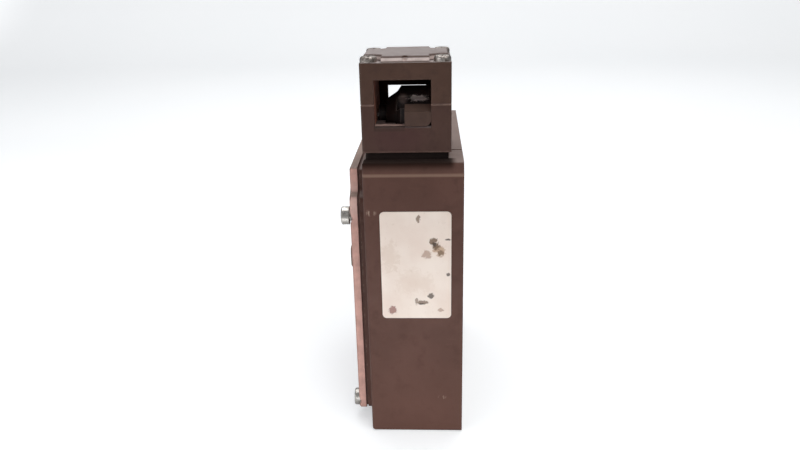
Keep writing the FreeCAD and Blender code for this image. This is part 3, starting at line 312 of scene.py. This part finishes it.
def powder_coat(name, base, light, dark, wear_and_highlight, dust_and_sheen, wear, extra, grain=1.0, sheen=0.8):
    """Old powder coating: orange peel, drifting tone, edges lightened by a painted highlight and
    chipped by wear, dusty up-facing faces with a painted sheen.

    The extra function adds what only this casting shows, painted light and shade among it, and may
    mark where it is matt."""
    g = Graph(name)
    g.rounded(0.45)
    drift = g.noise(55, 3)
    speck = g.noise(1500, 2, 0.7)
    cloud = g.noise(230, 5, 0.6)
    colour = g.mix(g.remap(drift, 0.35, 0.68, 0, 0.6), base, light)
    colour = g.mix(g.remap(cloud, 0.48, 0.78, 0, 0.6), colour, dark)
    colour = g.mix(g.remap(speck, 0.6, 0.76, 0, 0.3), colour, light)
    edge = g.edges(0.8)
    chips = g.math("MULTIPLY", edge, g.remap(g.noise(520, 4, 0.7), 0.5, 0.62))
    # edges lightened towards the light colour: a painted highlight
    colour = g.tint(edge, 0.35, colour, light)
    colour = g.tint(chips, wear, colour, wear_and_highlight)
    rubbed = g.remap(g.noise(900, 3, 0.6, vector=g.scaled(1, 0.12, 0.5)), 0.62, 0.72, 0, 0.25)
    colour = g.mix(rubbed, colour, light)
    # up-facing faces lightened: dustiness and a painted sheen
    dust_and_sheen_share = g.remap(cloud, 0.2, 0.7, sheen * 0.6, sheen)
    colour = g.tint(g.up_facing(), dust_and_sheen_share, colour, dust_and_sheen)
    colour = extra(g, colour, cloud)
    peel = g.cells(1250, "SMOOTH_F1")
    g.bump([(peel, 0.05 * grain, 0.35), (speck, 0.02 * grain, 0.4), (chips, -0.05, 0.4)])
    rough = g.remap(cloud, 0.25, 0.75, 0.46, 0.62)
    if g.matt is None:
        return g.out(colour, rough, specular=SHEEN_SPECULAR)
    rough = g.math("ADD", rough, g.math("MULTIPLY", g.matt, MATT_ROUGHER))
    return g.out(colour, rough, specular=g.remap(g.matt, 0, 1, SHEEN_SPECULAR, MATT_SPECULAR))


def body_wear_and_light(g, colour, cloud):
    """Lighter towards the bottom as painted light, a painted shadow under the head, a painted
    highlight on the shoulder edge, and two scuffs on the side.
    """
    # painted light: the body grows lighter towards the bottom
    lower = g.remap(g.axis("Z"), -0.015, -0.052, 0.0, 0.35)
    colour = g.mix(lower, colour, srgb(108, 77, 67))
    # painted shadow under the head; the same area is also made matt
    g.matt = g.block(HEAD_SHADOW)
    colour = g.tint(g.matt, 0.93, colour, srgb(28, 19, 16))
    # painted highlight along the shoulder edge
    colour = g.tint(g.block(SHOULDER_EDGE), 0.55, colour, srgb(150, 122, 106))
    scratch = g.noise(700, 4, 0.7, vector=g.scaled(1, 1, 0.35))
    for scuff in SCUFFS:
        marks = g.both(g.spot(*scuff), g.remap(scratch, 0.5, 0.6))
        colour = g.tint(marks, 0.6, colour, srgb(176, 150, 134))
    return colour


def cover_side_sheen(g, colour, cloud):
    """Painted copper-pink sheen on the cover's sides that face along X, with a brighter painted
    highlight in one place.
    """
    side = g.remap(g.math("ABSOLUTE", g.axis("X", g.normal)), 0.45, 0.9)
    sheen_share = g.remap(cloud, 0.25, 0.7, 1.0, 0.7)
    # painted sheen on the sides that face along X
    colour = g.tint(side, sheen_share, colour, srgb(226, 178, 166))
    return g.tint(g.both(side, g.spot(*COVER_SIDE_HIGHLIGHT)), 0.7, colour, srgb(240, 206, 196))


def head_wear_and_light(g, colour, cloud):
    """Reddish bloom low down, painted highlights along the split and foot edges, the window's painted
    light and shade, a painted sheen on the cross step and painted shade in its notch.
    """
    # pale colour of the painted highlights along the split and foot edges
    wear_and_highlight = srgb(158, 128, 116)
    colour = g.tint(g.band(*HEAD_LOWER), 0.4, colour, srgb(66, 42, 40))
    colour = g.tint(g.spot(*HEAD_BLOOM), 0.45, colour, srgb(74, 43, 43))
    patchy = g.remap(g.noise(300, 4, 0.6), 0.3, 0.6, 0.35, 1.0)
    # painted highlight along the split, on the front
    split = g.both(g.band(*HEAD_FRONT), g.band(*SPLIT_EDGE), patchy)
    colour = g.tint(split, 0.6, colour, wear_and_highlight)
    colour = window_wear_and_light(g, colour, patchy)
    # painted highlight along the foot edge
    colour = g.tint(g.both(g.band(*FOOT_EDGE), patchy), 0.2, colour, wear_and_highlight)
    # painted sheen on the cross step
    cross = g.both(g.band(*CROSS_STEP), g.remap(g.noise(300, 3), 0.3, 0.6, 0.75, 1.0))
    colour = g.tint(cross, 0.95, colour, srgb(240, 222, 216))
    # painted shade in the notch
    return g.tint(g.spot(*CROSS_NOTCH), 0.8, colour, srgb(60, 46, 41))


def window_wear_and_light(g, colour, patchy):
    """Tongue window: walls painted lighter in place of light reaching in, painted shade on the rounded
    sill and on the floor on both sides of a pale line, which is both wear and the sill's painted
    highlight.
    """
    across = g.band(*WINDOW_FLOOR)
    tread = g.both(across, g.band(*FLOOR_FACE))
    # painted shade on the rounded sill
    colour = g.tint(g.both(across, g.block(FLOOR_LIP)), 0.55, colour, srgb(60, 42, 35))
    g.matt = g.block(WINDOW_MATT)
    # walls painted lighter in place of light reaching in
    colour = g.tint(g.block(WINDOW_WALLS), 0.85, colour, srgb(150, 102, 88))
    # painted shade on the floor, ahead of and behind the pale line
    colour = g.tint(g.both(tread, g.band(*AHEAD_OF_LINE)), 0.75, colour, srgb(56, 39, 33))
    colour = g.tint(g.both(tread, g.band(*BEHIND_LINE)), 0.5, colour, srgb(50, 35, 31))
    # pale line: wear and the sill's painted highlight
    line = g.both(tread, g.band(*WORN_AND_HIGHLIGHT_LINE), patchy)
    return g.tint(line, 0.9, colour, srgb(204, 172, 162))


def body_coat():
    return powder_coat(
        "body_coat", base=srgb(85, 56, 47), light=srgb(96, 65, 56), dark=srgb(76, 50, 42),
        wear_and_highlight=srgb(172, 148, 132), dust_and_sheen=srgb(146, 130, 124), wear=0.5, extra=body_wear_and_light)


def cover_coat():
    return powder_coat(
        "cover_coat", base=srgb(112, 78, 67), light=srgb(140, 102, 90), dark=srgb(88, 60, 51),
        wear_and_highlight=srgb(216, 184, 166), dust_and_sheen=srgb(170, 150, 140), wear=0.7, extra=cover_side_sheen)


def head_coat():
    return powder_coat(
        "head_coat", base=srgb(76, 53, 43), light=srgb(88, 64, 53), dark=srgb(60, 41, 34),
        wear_and_highlight=srgb(140, 116, 100), dust_and_sheen=srgb(154, 144, 142), wear=0.35, extra=head_wear_and_light,
        grain=1.3, sheen=0.95)


# ---------------------------------------------------------------- other materials
def moulding(name, base, light, dark, rough=0.5, dust_and_sheen=0.0, specular=0.4):
    """Moulded plastic or rubber: fine grain, slight bloom, dustiness with a painted sheen on up-facing
    faces, edges lightened by a painted highlight.
    """
    g = Graph(name)
    g.rounded(0.25)
    drift = g.noise(90, 4)
    fine = g.noise(900, 3, 0.65)
    colour = g.mix(g.remap(drift, 0.3, 0.7), base, light)
    colour = g.mix(g.remap(fine, 0.52, 0.8, 0, 0.6), colour, dark)
    # up-facing faces lightened: dustiness and a painted sheen
    colour = g.tint(g.up_facing(), dust_and_sheen, colour, srgb(150, 142, 134))
    # painted edge highlight
    colour = g.tint(g.edges(0.4), 0.3, colour, light)
    g.bump([(fine, 0.02, 0.3), (g.cells(720), 0.02, 0.2)])
    return g.out(colour, g.remap(drift, 0.25, 0.75, rough - 0.08, rough + 0.12), 0.0, specular)


def metal(name, base, light, dark, rough=0.32, grime=0.3):
    """Machined or plated steel and brass: tool lines, dull patches, grime, edges lightened by a
    painted highlight.
    """
    g = Graph(name)
    g.rounded(0.2)
    lines = g.noise(1400, 3, 0.6, vector=g.scaled(1, 1, 14))
    patch = g.noise(260, 5, 0.6, distortion=0.6)
    colour = g.mix(g.remap(lines, 0.35, 0.7), base, light)
    colour = g.mix(g.remap(patch, 0.5, 0.75, 0, 0.8), colour, dark)
    dirty = g.math("MULTIPLY", g.remap(g.noise(420, 6, 0.7), 0.5, 0.66), grime)
    colour = g.mix(dirty, colour, srgb(64, 48, 36))
    # painted edge highlight
    colour = g.tint(g.edges(0.35), 0.6, colour, light)
    g.bump([(lines, 0.012, 0.35), (patch, 0.03, 0.2)])
    dull = g.remap(patch, 0.3, 0.75, rough - 0.08, rough + 0.2)
    dull = g.math("ADD", dull, g.math("MULTIPLY", dirty, 0.4))
    shine = g.math("SUBTRACT", 1.0, g.math("MULTIPLY", dirty, 0.9))
    return g.out(colour, dull, shine)


def cam_metal():
    """Hardened cam, brown-black with old grease, with a painted highlight on its flank and painted
    edge highlights; its lip is rubbed bright where the tongue runs and also carries a painted glint.
    """
    g = Graph("cam_metal")
    g.rounded(0.3)
    lines = g.noise(1100, 3, 0.6, vector=g.scaled(1, 9, 1))
    patch = g.noise(380, 5, 0.6)
    grease = g.remap(g.noise(210, 5, 0.65), 0.38, 0.58)
    colour = g.mix(g.remap(lines, 0.3, 0.7), srgb(46, 36, 35), srgb(66, 54, 52))
    colour = g.tint(grease, 0.8, colour, srgb(30, 22, 22))
    colour = g.mix(g.remap(patch, 0.55, 0.75, 0, 0.5), colour, srgb(60, 42, 37))
    # painted highlight on the flank
    colour = g.tint(g.spot(*CAM_FLANK), 0.8, colour, srgb(196, 172, 164))
    torn = g.noise(1150, 6, 0.75, distortion=0.4, vector=g.scaled(1, 0.7, 1))
    lip = g.math("MULTIPLY", g.smear(*CAM_LIP, torn), 0.9)
    # the lip: rubbed metal with a painted glint
    colour = g.mix(lip, colour, srgb(250, 232, 226))
    # painted edge highlights
    colour = g.tint(g.edges(0.7, 0.02, 0.15), 0.3, colour, srgb(150, 134, 126))
    g.bump([(lines, 0.02, 0.4), (patch, 0.06, 0.35), (g.remap(torn, 0.34, 0.52), 0.03, 0.3)])
    bare = g.math("SUBTRACT", 1.0, lip)
    shine = g.math("MULTIPLY", g.remap(grease, 0, 1, 0.6, 0.25), bare)
    return g.out(colour, g.remap(grease, 0, 1, 0.34, 0.55), shine)


DARK, BROWN, RUST = srgb(74, 58, 48), srgb(112, 86, 64), srgb(150, 110, 88)
TAN, RED = srgb(178, 142, 108), srgb(140, 88, 80)
LABEL_MARKS = [  # ((y, z), (reach along y, reach along z), tint, depth), in mm
    ((-8.6, 24.6), (2.9, 2.6), TAN, 0.75),
    ((-10.9, 28.0), (1.7, 1.6), BROWN, 0.9),
    ((-9.8, 26.2), (1.9, 1.9), BROWN, 0.9),
    ((-10.4, 27.0), (1.1, 1.2), DARK, 0.85),
    ((-8.3, 23.6), (1.5, 1.3), BROWN, 0.75),
    ((-13.3, 23.0), (2.2, 2.0), RUST, 0.6),
    ((-5.6, 28.7), (1.5, 0.6), DARK, 0.9),
    ((-5.6, 15.0), (0.9, 1.0), DARK, 0.85),
    ((-11.9, 6.4), (1.2, 1.2), DARK, 0.85),
    ((-14.9, 3.7), (2.5, 1.1), BROWN, 0.85),
    ((-15.3, 3.2), (1.5, 0.5), DARK, 0.85),
    ((-17.2, 4.4), (0.8, 1.9), BROWN, 0.7),
    ((-26.1, 0.8), (1.8, 1.7), RED, 0.8),
    ((-8.2, 0.6), (1.3, 0.9), RUST, 0.6),
    ((-16.1, 36.6), (1.0, 1.8), BROWN, 0.8),
    ((-27.0, 22.0), (4.0, 7.0), TAN, 0.16),
    ((-18.0, 12.0), (8.0, 6.0), TAN, 0.1),
]


def label_film():
    """Cream film without print, with the smears and blots that lie on it."""
    g = Graph("label_film")
    fine = g.noise(700, 4, 0.6)
    broad = g.noise(70, 4)
    colour = g.mix(g.remap(broad, 0.3, 0.7), srgb(240, 226, 215), srgb(232, 214, 202))
    colour = g.mix(g.remap(fine, 0.6, 0.78, 0, 0.3), colour, srgb(200, 180, 160))
    ragged = g.noise(420, 6, 0.7, distortion=0.8)
    for (y, z), (across, up), tint, depth in LABEL_MARKS:
        blot = g.smear((LABEL_X, y, z), (SMEAR_REACH, across, up), ragged)
        colour = g.tint(blot, depth, colour, tint)
    g.bump([(fine, 0.02, 0.25), (g.noise(120, 3), 0.15, 0.25)])
    return g.out(colour, g.remap(broad, 0.3, 0.7, 0.34, 0.5))


def winding():
    """Lacquered copper wire, turn beside turn along X."""
    g = Graph("coil_winding")
    wave = g.add("ShaderNodeTexWave", wave_type="BANDS", bands_direction="X")
    g.feed(wave.inputs["Vector"], g.pos)
    wave.inputs["Scale"].default_value = 520
    wave.inputs["Distortion"].default_value = 0.6
    turn = wave.outputs["Fac"]
    colour = g.mix(turn, srgb(104, 48, 22), srgb(186, 98, 48))
    colour = g.mix(g.remap(g.noise(240, 4), 0.5, 0.7, 0, 0.6), colour, srgb(84, 36, 18))
    g.bump([(turn, 0.12, 0.8)])
    return g.out(colour, 0.32, 0.25, coat=0.4)


def clear_plastic(name, tint, rough):
    """Smoky or clear moulding that lets some light through, with faint swirls."""
    g = Graph(name)
    g.rounded(0.2)
    swirl = g.noise(260, 4, 0.5, distortion=0.8)
    shade = tuple(c * 0.6 for c in tint[:3]) + (1.0,)
    colour = g.mix(g.remap(swirl, 0.3, 0.7), tint, shade)
    g.bump([(g.noise(800, 3), 0.01, 0.3)])
    g.bsdf.inputs["Transmission Weight"].default_value = 0.35
    g.bsdf.inputs["IOR"].default_value = 1.49
    return g.out(colour, g.remap(swirl, 0.3, 0.7, rough, rough + 0.12))


def circuit_board():
    """Green solder mask over a pattern of tracks."""
    g = Graph("circuit_board")
    track = g.remap(g.cells(420, vector=g.scaled(1, 1, 0.5)), 0.18, 0.24)
    colour = g.mix(track, srgb(30, 112, 64), srgb(14, 68, 38))
    colour = g.mix(g.remap(g.noise(200, 4), 0.5, 0.7, 0, 0.4), colour, srgb(10, 46, 28))
    g.bump([(track, 0.03, 0.5)])
    return g.out(colour, 0.3, coat=0.3)


# What the camera alone sees added to the white board: everywhere, on the backdrop behind the
# part, and on the floor that the picture's own view leaves out. Distances are in metres.
FLOOR_GLOW, BACKDROP_GLOW, OPEN_GLOW = 0.45, 0.2, 0.55
BACKDROP_FADE, OPEN_FADE = (-0.45, -1.4), (0.4, 1.3)
AHEAD_FADE, BESIDE_FADE = (-0.4, 0.0), (0.95, 1.35)


def floor_paper():
    """White board: its own brightness is added for the camera alone, so it lights nothing."""
    g = Graph("studio_floor")
    broad = g.noise(3.0, 3)
    colour = g.mix(g.remap(broad, 0.3, 0.7), (0.70, 0.71, 0.72, 1), (0.67, 0.685, 0.70, 1))
    mat = g.out(colour, 0.6, specular=0.15)
    far = g.remap(g.axis("X"), *BACKDROP_FADE, 0.0, BACKDROP_GLOW, smooth=False)
    away = g.add("ShaderNodeVectorMath", operation="LENGTH")
    g.feed(away.inputs[0], g.pos)
    beside = g.remap(g.math("ABSOLUTE", g.axis("Y")), *BESIDE_FADE)
    clear_of_picture = g.math("MAXIMUM", g.remap(g.axis("X"), *AHEAD_FADE), beside)
    open_side = g.both(g.remap(away.outputs["Value"], *OPEN_FADE, 0.0, OPEN_GLOW), clear_of_picture)
    lift = g.math("ADD", g.math("ADD", far, open_side), FLOOR_GLOW)
    seen = g.add("ShaderNodeLightPath")
    glow = g.math("MULTIPLY", seen.outputs["Is Camera Ray"], lift)
    g.bsdf.inputs["Emission Color"].default_value = (0.97, 0.985, 1.0, 1)
    g.feed(g.bsdf.inputs["Emission Strength"], glow)
    return mat


# ---------------------------------------------------------------- material slots
METALS = {  # slot: name, base, light, dark, roughness, grime
    "plated_screws": ("plated_screw", (176, 172, 166), (226, 223, 217), (120, 112, 102), 0.32, 0.3),
    "pin_steel": ("ground_steel", (170, 168, 164), (214, 212, 208), (122, 118, 112), 0.24, 0.15),
    "spring_steel": ("spring_wire", (128, 126, 124), (186, 184, 180), (84, 80, 76), 0.3, 0.2),
    "brass": ("turned_brass", (186, 150, 86), (224, 196, 132), (134, 98, 52), 0.3, 0.2),
    "contact_silver": ("contact_metal", (196, 188, 168), (230, 226, 212), (140, 128, 104), 0.3, 0.1),
    "yoke_steel": ("yoke_steel", (166, 162, 150), (206, 202, 190), (122, 116, 102), 0.34, 0.2),
    "release_brass": ("release_metal", (158, 138, 100), (206, 188, 146), (108, 88, 58), 0.36, 0.3),
}
MOULDINGS = {  # slot: name, base, light, dark, roughness, dust_and_sheen, specular
    "plinth_grey": ("plinth_moulding", (30, 23, 21), (42, 33, 30), (18, 14, 13), 0.7, 0.0, 0.1),
    "gasket_rubber": ("gasket_rubber", (92, 64, 57), (112, 82, 74), (66, 46, 41), 0.7, 0.0, 0.4),
    "guide_brown": ("guide_moulding", (70, 49, 40), (86, 62, 52), (50, 35, 29), 0.5, 0.08, 0.4),
    "block_plastic": ("block_moulding", (58, 58, 60), (78, 78, 80), (38, 38, 40), 0.45, 0.0, 0.4),
    "carriage_plastic":
        ("carriage_moulding", (222, 218, 206), (236, 233, 224), (190, 184, 168), 0.4, 0.0, 0.4),
    "plug_black": ("plug_moulding", (36, 34, 33), (54, 51, 49), (20, 19, 19), 0.5, 0.1, 0.4),
}


def from_table(maker, row):
    name, base, light, dark, *rest = row
    return maker(name, srgb(*base), srgb(*light), srgb(*dark), *rest)


MATERIALS = {
    "body_paint": body_coat(),
    "head_paint": head_coat(),
    "cam_steel": cam_metal(),
    "coil_tape": winding(),
    "board_green": circuit_board(),
    "led_clear": clear_plastic("led_body", srgb(226, 214, 170), 0.12),
    "lens_smoke": clear_plastic("lens_body", srgb(150, 116, 100), 0.18),
    "label_cream": label_film(),
}
MATERIALS.update({slot: from_table(metal, row) for slot, row in METALS.items()})
MATERIALS.update({slot: from_table(moulding, row) for slot, row in MOULDINGS.items()})
GRIMY_SCREW = ("grimy_screw", (140, 132, 126), (214, 206, 200), (84, 74, 68), 0.34, 0.85)
OWN_COAT = {
    "front_cover": cover_coat(),
    "head_screws": from_table(metal, GRIMY_SCREW),
}

for part in frame["record"]["subparts"]:
    node = NODES[part["node"]]
    coat = OWN_COAT.get(part["node"], MATERIALS[part["material_slot"]])
    if not node.material_slots:
        node.data.materials.append(coat)
    for slot in node.material_slots:
        slot.material = coat


# ---------------------------------------------------------------- mesh pieces
def new_piece(name, mesh_maker, body, slot):
    """A smooth-shaded mesh piece. It rides on the body, unless the body is None, which leaves it
    unattached.
    """
    bm = bmesh.new()
    mesh_maker(bm)
    mesh = bpy.data.meshes.new(name)
    bmesh.ops.recalc_face_normals(bm, faces=bm.faces)
    bm.to_mesh(mesh)
    bm.free()
    for face in mesh.polygons:
        face.use_smooth = True
    piece = bpy.data.objects.new(name, mesh)
    bpy.context.scene.collection.objects.link(piece)
    mesh.materials.append(MATERIALS[slot])
    if body:
        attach(piece, body)
    return piece


def skin(bm, rings):
    """Joins rings of vertices into a closed tube."""
    sides = len(rings[0])
    for a, b in zip(rings, rings[1:]):
        for k in range(sides):
            bm.faces.new((a[k], a[(k + 1) % sides], b[(k + 1) % sides], b[k]))
    bm.faces.new(rings[0])
    bm.faces.new(list(reversed(rings[-1])))


# The open cable entry's M20 x 1.5 thread, in mm: it starts THREAD_INSET above the mouth.
THREAD_CREST, THREAD_PITCH, THREAD_LENGTH, THREAD_INSET = 8.45, 1.5, 8.6, 0.6
THREAD_STEPS = 48
FLANK_FOOT, FLANK_TIP = 0.46, 0.08    # half widths of the ridge, as shares of the pitch
RUN_OUT, LOWEST_TIP = 2, 0.02         # the ridge fades over half a turn, never quite to nothing


def thread(bm, centre, root):
    """A helical V ridge from the root radius inward to the crest, up along Z."""
    axis = Vector((0, 0, 1))
    u = axis.cross(Vector((1, 0, 0))).normalized()
    v = axis.cross(u)
    turns = THREAD_LENGTH / THREAD_PITCH - 1
    rings = []
    for i in range(int(turns * THREAD_STEPS) + 1):
        angle = 2 * pi * i / THREAD_STEPS
        out = u * cos(angle) + v * sin(angle)
        foot = Vector(centre) + axis * (THREAD_PITCH * (i / THREAD_STEPS + 0.5))
        left = turns * THREAD_STEPS - i
        fade = min(1.0, i / THREAD_STEPS * RUN_OUT, left / THREAD_STEPS * RUN_OUT)
        tip = root + (THREAD_CREST - root) * max(fade, LOWEST_TIP)
        ring = [(root, -FLANK_FOOT), (tip, -FLANK_TIP), (tip, FLANK_TIP), (root, FLANK_FOOT)]
        rings.append([
            bm.verts.new((foot + out * r + axis * (THREAD_PITCH * s)) * MM) for r, s in ring])
    skin(bm, rings)


entry = next(m for m in frame["record"]["mounts"] if m["name"] == "conduit_entry")
entry_x, entry_y, _ = [v / MM for v in entry["pos_m"]]
mouth_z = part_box("body_housing")[0][2] / MM
new_piece(
    "entry_thread",
    lambda bm: thread(bm, (entry_x, entry_y, mouth_z + THREAD_INSET), entry["dims"]["r_mm"]),
    "housing", "body_paint")

# The springs are wound where the CAD springs are: one is pressed together, the other is drawn out.
SPRING_WIRE = 0.35     # radius, in mm
SPRING_SKIN = 0.384    # how far the CAD wire's corners stand off its centre line, in mm
SPRING_STEPS, SPRING_SIDES = 28, 10
BOLT_SPRING_TURNS, RETURN_SPRING_TURNS = 3.5, 5


def coil(bm, node, axes, turns):
    """Round spring wire where the CAD node's is, wound round the third of the axes."""
    across, second, along = (Vector(a) for a in axes)
    low, high = [Vector(c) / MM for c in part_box(node)]
    middle, half = (low + high) / 2, (high - low) / 2
    radius = abs(half.dot(second)) - SPRING_SKIN
    climb = 2 * (abs(half.dot(along)) - SPRING_SKIN)
    slope = atan2(climb, 2 * pi * radius * turns)
    count = int(turns * SPRING_STEPS)
    section = [2 * pi * k / SPRING_SIDES for k in range(SPRING_SIDES)]
    rings = []
    for i in range(count + 1):
        angle = 2 * pi * i / SPRING_STEPS
        out = across * cos(angle) + second * sin(angle)
        ahead = second * cos(angle) - across * sin(angle)
        lift = along * cos(slope) - ahead * sin(slope)
        core = middle + out * radius + along * climb * (i / count - 0.5)
        rings.append([
            bm.verts.new((core + (out * cos(t) + lift * sin(t)) * SPRING_WIRE) * MM) for t in section])
    skin(bm, rings)


pressed = new_piece(
    "pressed_bolt_spring",
    lambda bm: coil(bm, "bolt_spring", ((0, 0, -1), (0, 1, 0), (1, 0, 0)), BOLT_SPRING_TURNS),
    "housing", "spring_steel")
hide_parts("bolt_spring")
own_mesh(pressed)

drawn = new_piece(
    "drawn_return_spring",
    lambda bm: coil(bm, "return_spring", ((1, 0, 0), (0, 1, 0), (0, 0, 1)), RETURN_SPRING_TURNS),
    None, "spring_steel")
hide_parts("return_spring")
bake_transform(drawn)


# ---------------------------------------------------------------- floor, in metres
FLOOR_FRONT, FLOOR_BACK, FLOOR_HALF_WIDTH = 3.0, -1.1, 3.0
SWEEP_RADIUS, SWEEP_STEPS, BACKDROP_HEIGHT = 0.6, 12, 1.6


def sweep_floor(bm):
    """Floor that curves up into a backdrop behind the part."""
    floor_z = mouth_z * MM
    profile = [(FLOOR_FRONT, floor_z)]
    for i in range(SWEEP_STEPS + 1):
        angle = pi / 2 * i / SWEEP_STEPS
        rise = SWEEP_RADIUS * (1 - cos(angle))
        profile.append((FLOOR_BACK - SWEEP_RADIUS * sin(angle), floor_z + rise))
    profile.append((FLOOR_BACK - SWEEP_RADIUS, floor_z + BACKDROP_HEIGHT))
    sides = (-FLOOR_HALF_WIDTH, FLOOR_HALF_WIDTH)
    rows = [[bm.verts.new((x, y, z)) for y in sides] for x, z in profile]
    for a, b in zip(rows, rows[1:]):
        bm.faces.new((a[0], b[0], b[1], a[1]))


bm = bmesh.new()
sweep_floor(bm)
bmesh.ops.recalc_face_normals(bm, faces=bm.faces)
floor_mesh = bpy.data.meshes.new("studio_floor")
bm.to_mesh(floor_mesh)
bm.free()
for face in floor_mesh.polygons:
    face.use_smooth = True
floor = bpy.data.objects.new("studio_floor", floor_mesh)
floor_mesh.materials.append(floor_paper())
bpy.context.scene.collection.objects.link(floor)
floor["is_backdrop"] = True

# ---------------------------------------------------------------- light
LIGHTS = [  # name, place and target in m, size in m, power in W, colour
    ("key", (0.45, 0.35, 0.75), (0.0, 0.0, 0.02), (0.6, 0.6), 3.2, (1.0, 0.985, 0.96)),
    ("fill", (0.55, -0.85, 0.35), (0.0, 0.0, 0.0), (0.8, 0.6), 3.4, (0.97, 0.98, 1.0)),
    ("over", (-0.35, 0.0, 0.9), (0.0, 0.0, 0.0), (1.0, 1.0), 7.5, (1, 1, 1)),
    ("low", (0.13, -0.02, -0.034), (0.0, -0.02, -0.034), (0.3, 0.034), 0.056, (1, 1, 1)),
]
SKY_SEEN, SKY_LIGHT, SKY_LIGHT_STRENGTH = (0.95, 0.975, 1.0, 1), (0.96, 0.98, 1.0, 1), 0.2


def soft_box(name, place, target, size, power, colour):
    light = bpy.data.lights.new(name, "AREA")
    light.shape = "RECTANGLE"
    light.size, light.size_y = size
    light.energy = power
    light.color = colour
    lamp = bpy.data.objects.new(name, light)
    lamp.location = place
    aim = Vector(target) - Vector(place)
    lamp.rotation_euler = aim.to_track_quat("-Z", "Y").to_euler()
    bpy.context.scene.collection.objects.link(lamp)


def background(tree, colour, strength):
    node = tree.nodes.new("ShaderNodeBackground")
    node.inputs["Color"].default_value = colour
    node.inputs["Strength"].default_value = strength
    return node.outputs[0]


def studio_world():
    """White where the camera sees it, straight or through the lenses, and dimmer as light."""
    world = bpy.data.worlds.new("studio")
    world.use_nodes = True
    tree = world.node_tree
    tree.nodes.clear()
    path = tree.nodes.new("ShaderNodeLightPath")
    seen = tree.nodes.new("ShaderNodeMath")
    seen.operation = "MAXIMUM"
    tree.links.new(path.outputs["Is Camera Ray"], seen.inputs[0])
    tree.links.new(path.outputs["Is Transmission Ray"], seen.inputs[1])
    choose = tree.nodes.new("ShaderNodeMixShader")
    tree.links.new(seen.outputs[0], choose.inputs[0])
    tree.links.new(background(tree, SKY_LIGHT, SKY_LIGHT_STRENGTH), choose.inputs[1])
    tree.links.new(background(tree, SKY_SEEN, 1.0), choose.inputs[2])
    world_out = tree.nodes.new("ShaderNodeOutputWorld")
    tree.links.new(choose.outputs[0], world_out.inputs[0])
    return world


for row in LIGHTS:
    soft_box(*row)
bpy.context.scene.world = studio_world()

# ---------------------------------------------------------------- camera
# The picture's viewpoint: place in m, heading, dip and roll in radians, lens and sensor in mm.
EYE = Vector((279.06, -10.61, 119.41)) * MM
YAW, DIP, ROLL = -0.0523, 0.3538, -0.0239
FOCAL, SENSOR_WIDTH = 31.05, 36.0


def camera_axes():
    """The camera's right, up and back directions, for a view along -X at a heading of 0."""
    ahead = Vector((sin(YAW), cos(YAW), 0))
    right = Vector((cos(YAW), -sin(YAW), 0))
    rise = Vector((0, 0, 1))
    forward = ahead * cos(DIP) - rise * sin(DIP)
    up = rise * cos(DIP) + ahead * sin(DIP)
    turned_right = right * cos(ROLL) + up * sin(ROLL)
    turned_up = up * cos(ROLL) - right * sin(ROLL)
    return [Vector((-v.y, v.x, v.z)) for v in (turned_right, turned_up, -forward)]


lens = bpy.data.cameras.new("camera")
lens.sensor_width = SENSOR_WIDTH
lens.lens = FOCAL
camera = bpy.data.objects.new("camera", lens)
camera.matrix_world = Matrix.Translation(EYE) @ Matrix(camera_axes()).transposed().to_4x4()
bpy.context.scene.collection.objects.link(camera)
bpy.context.scene.camera = camera
bpy.context.scene.view_settings.view_transform = "Standard"

size_log["at_end"] = as_lists(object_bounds())
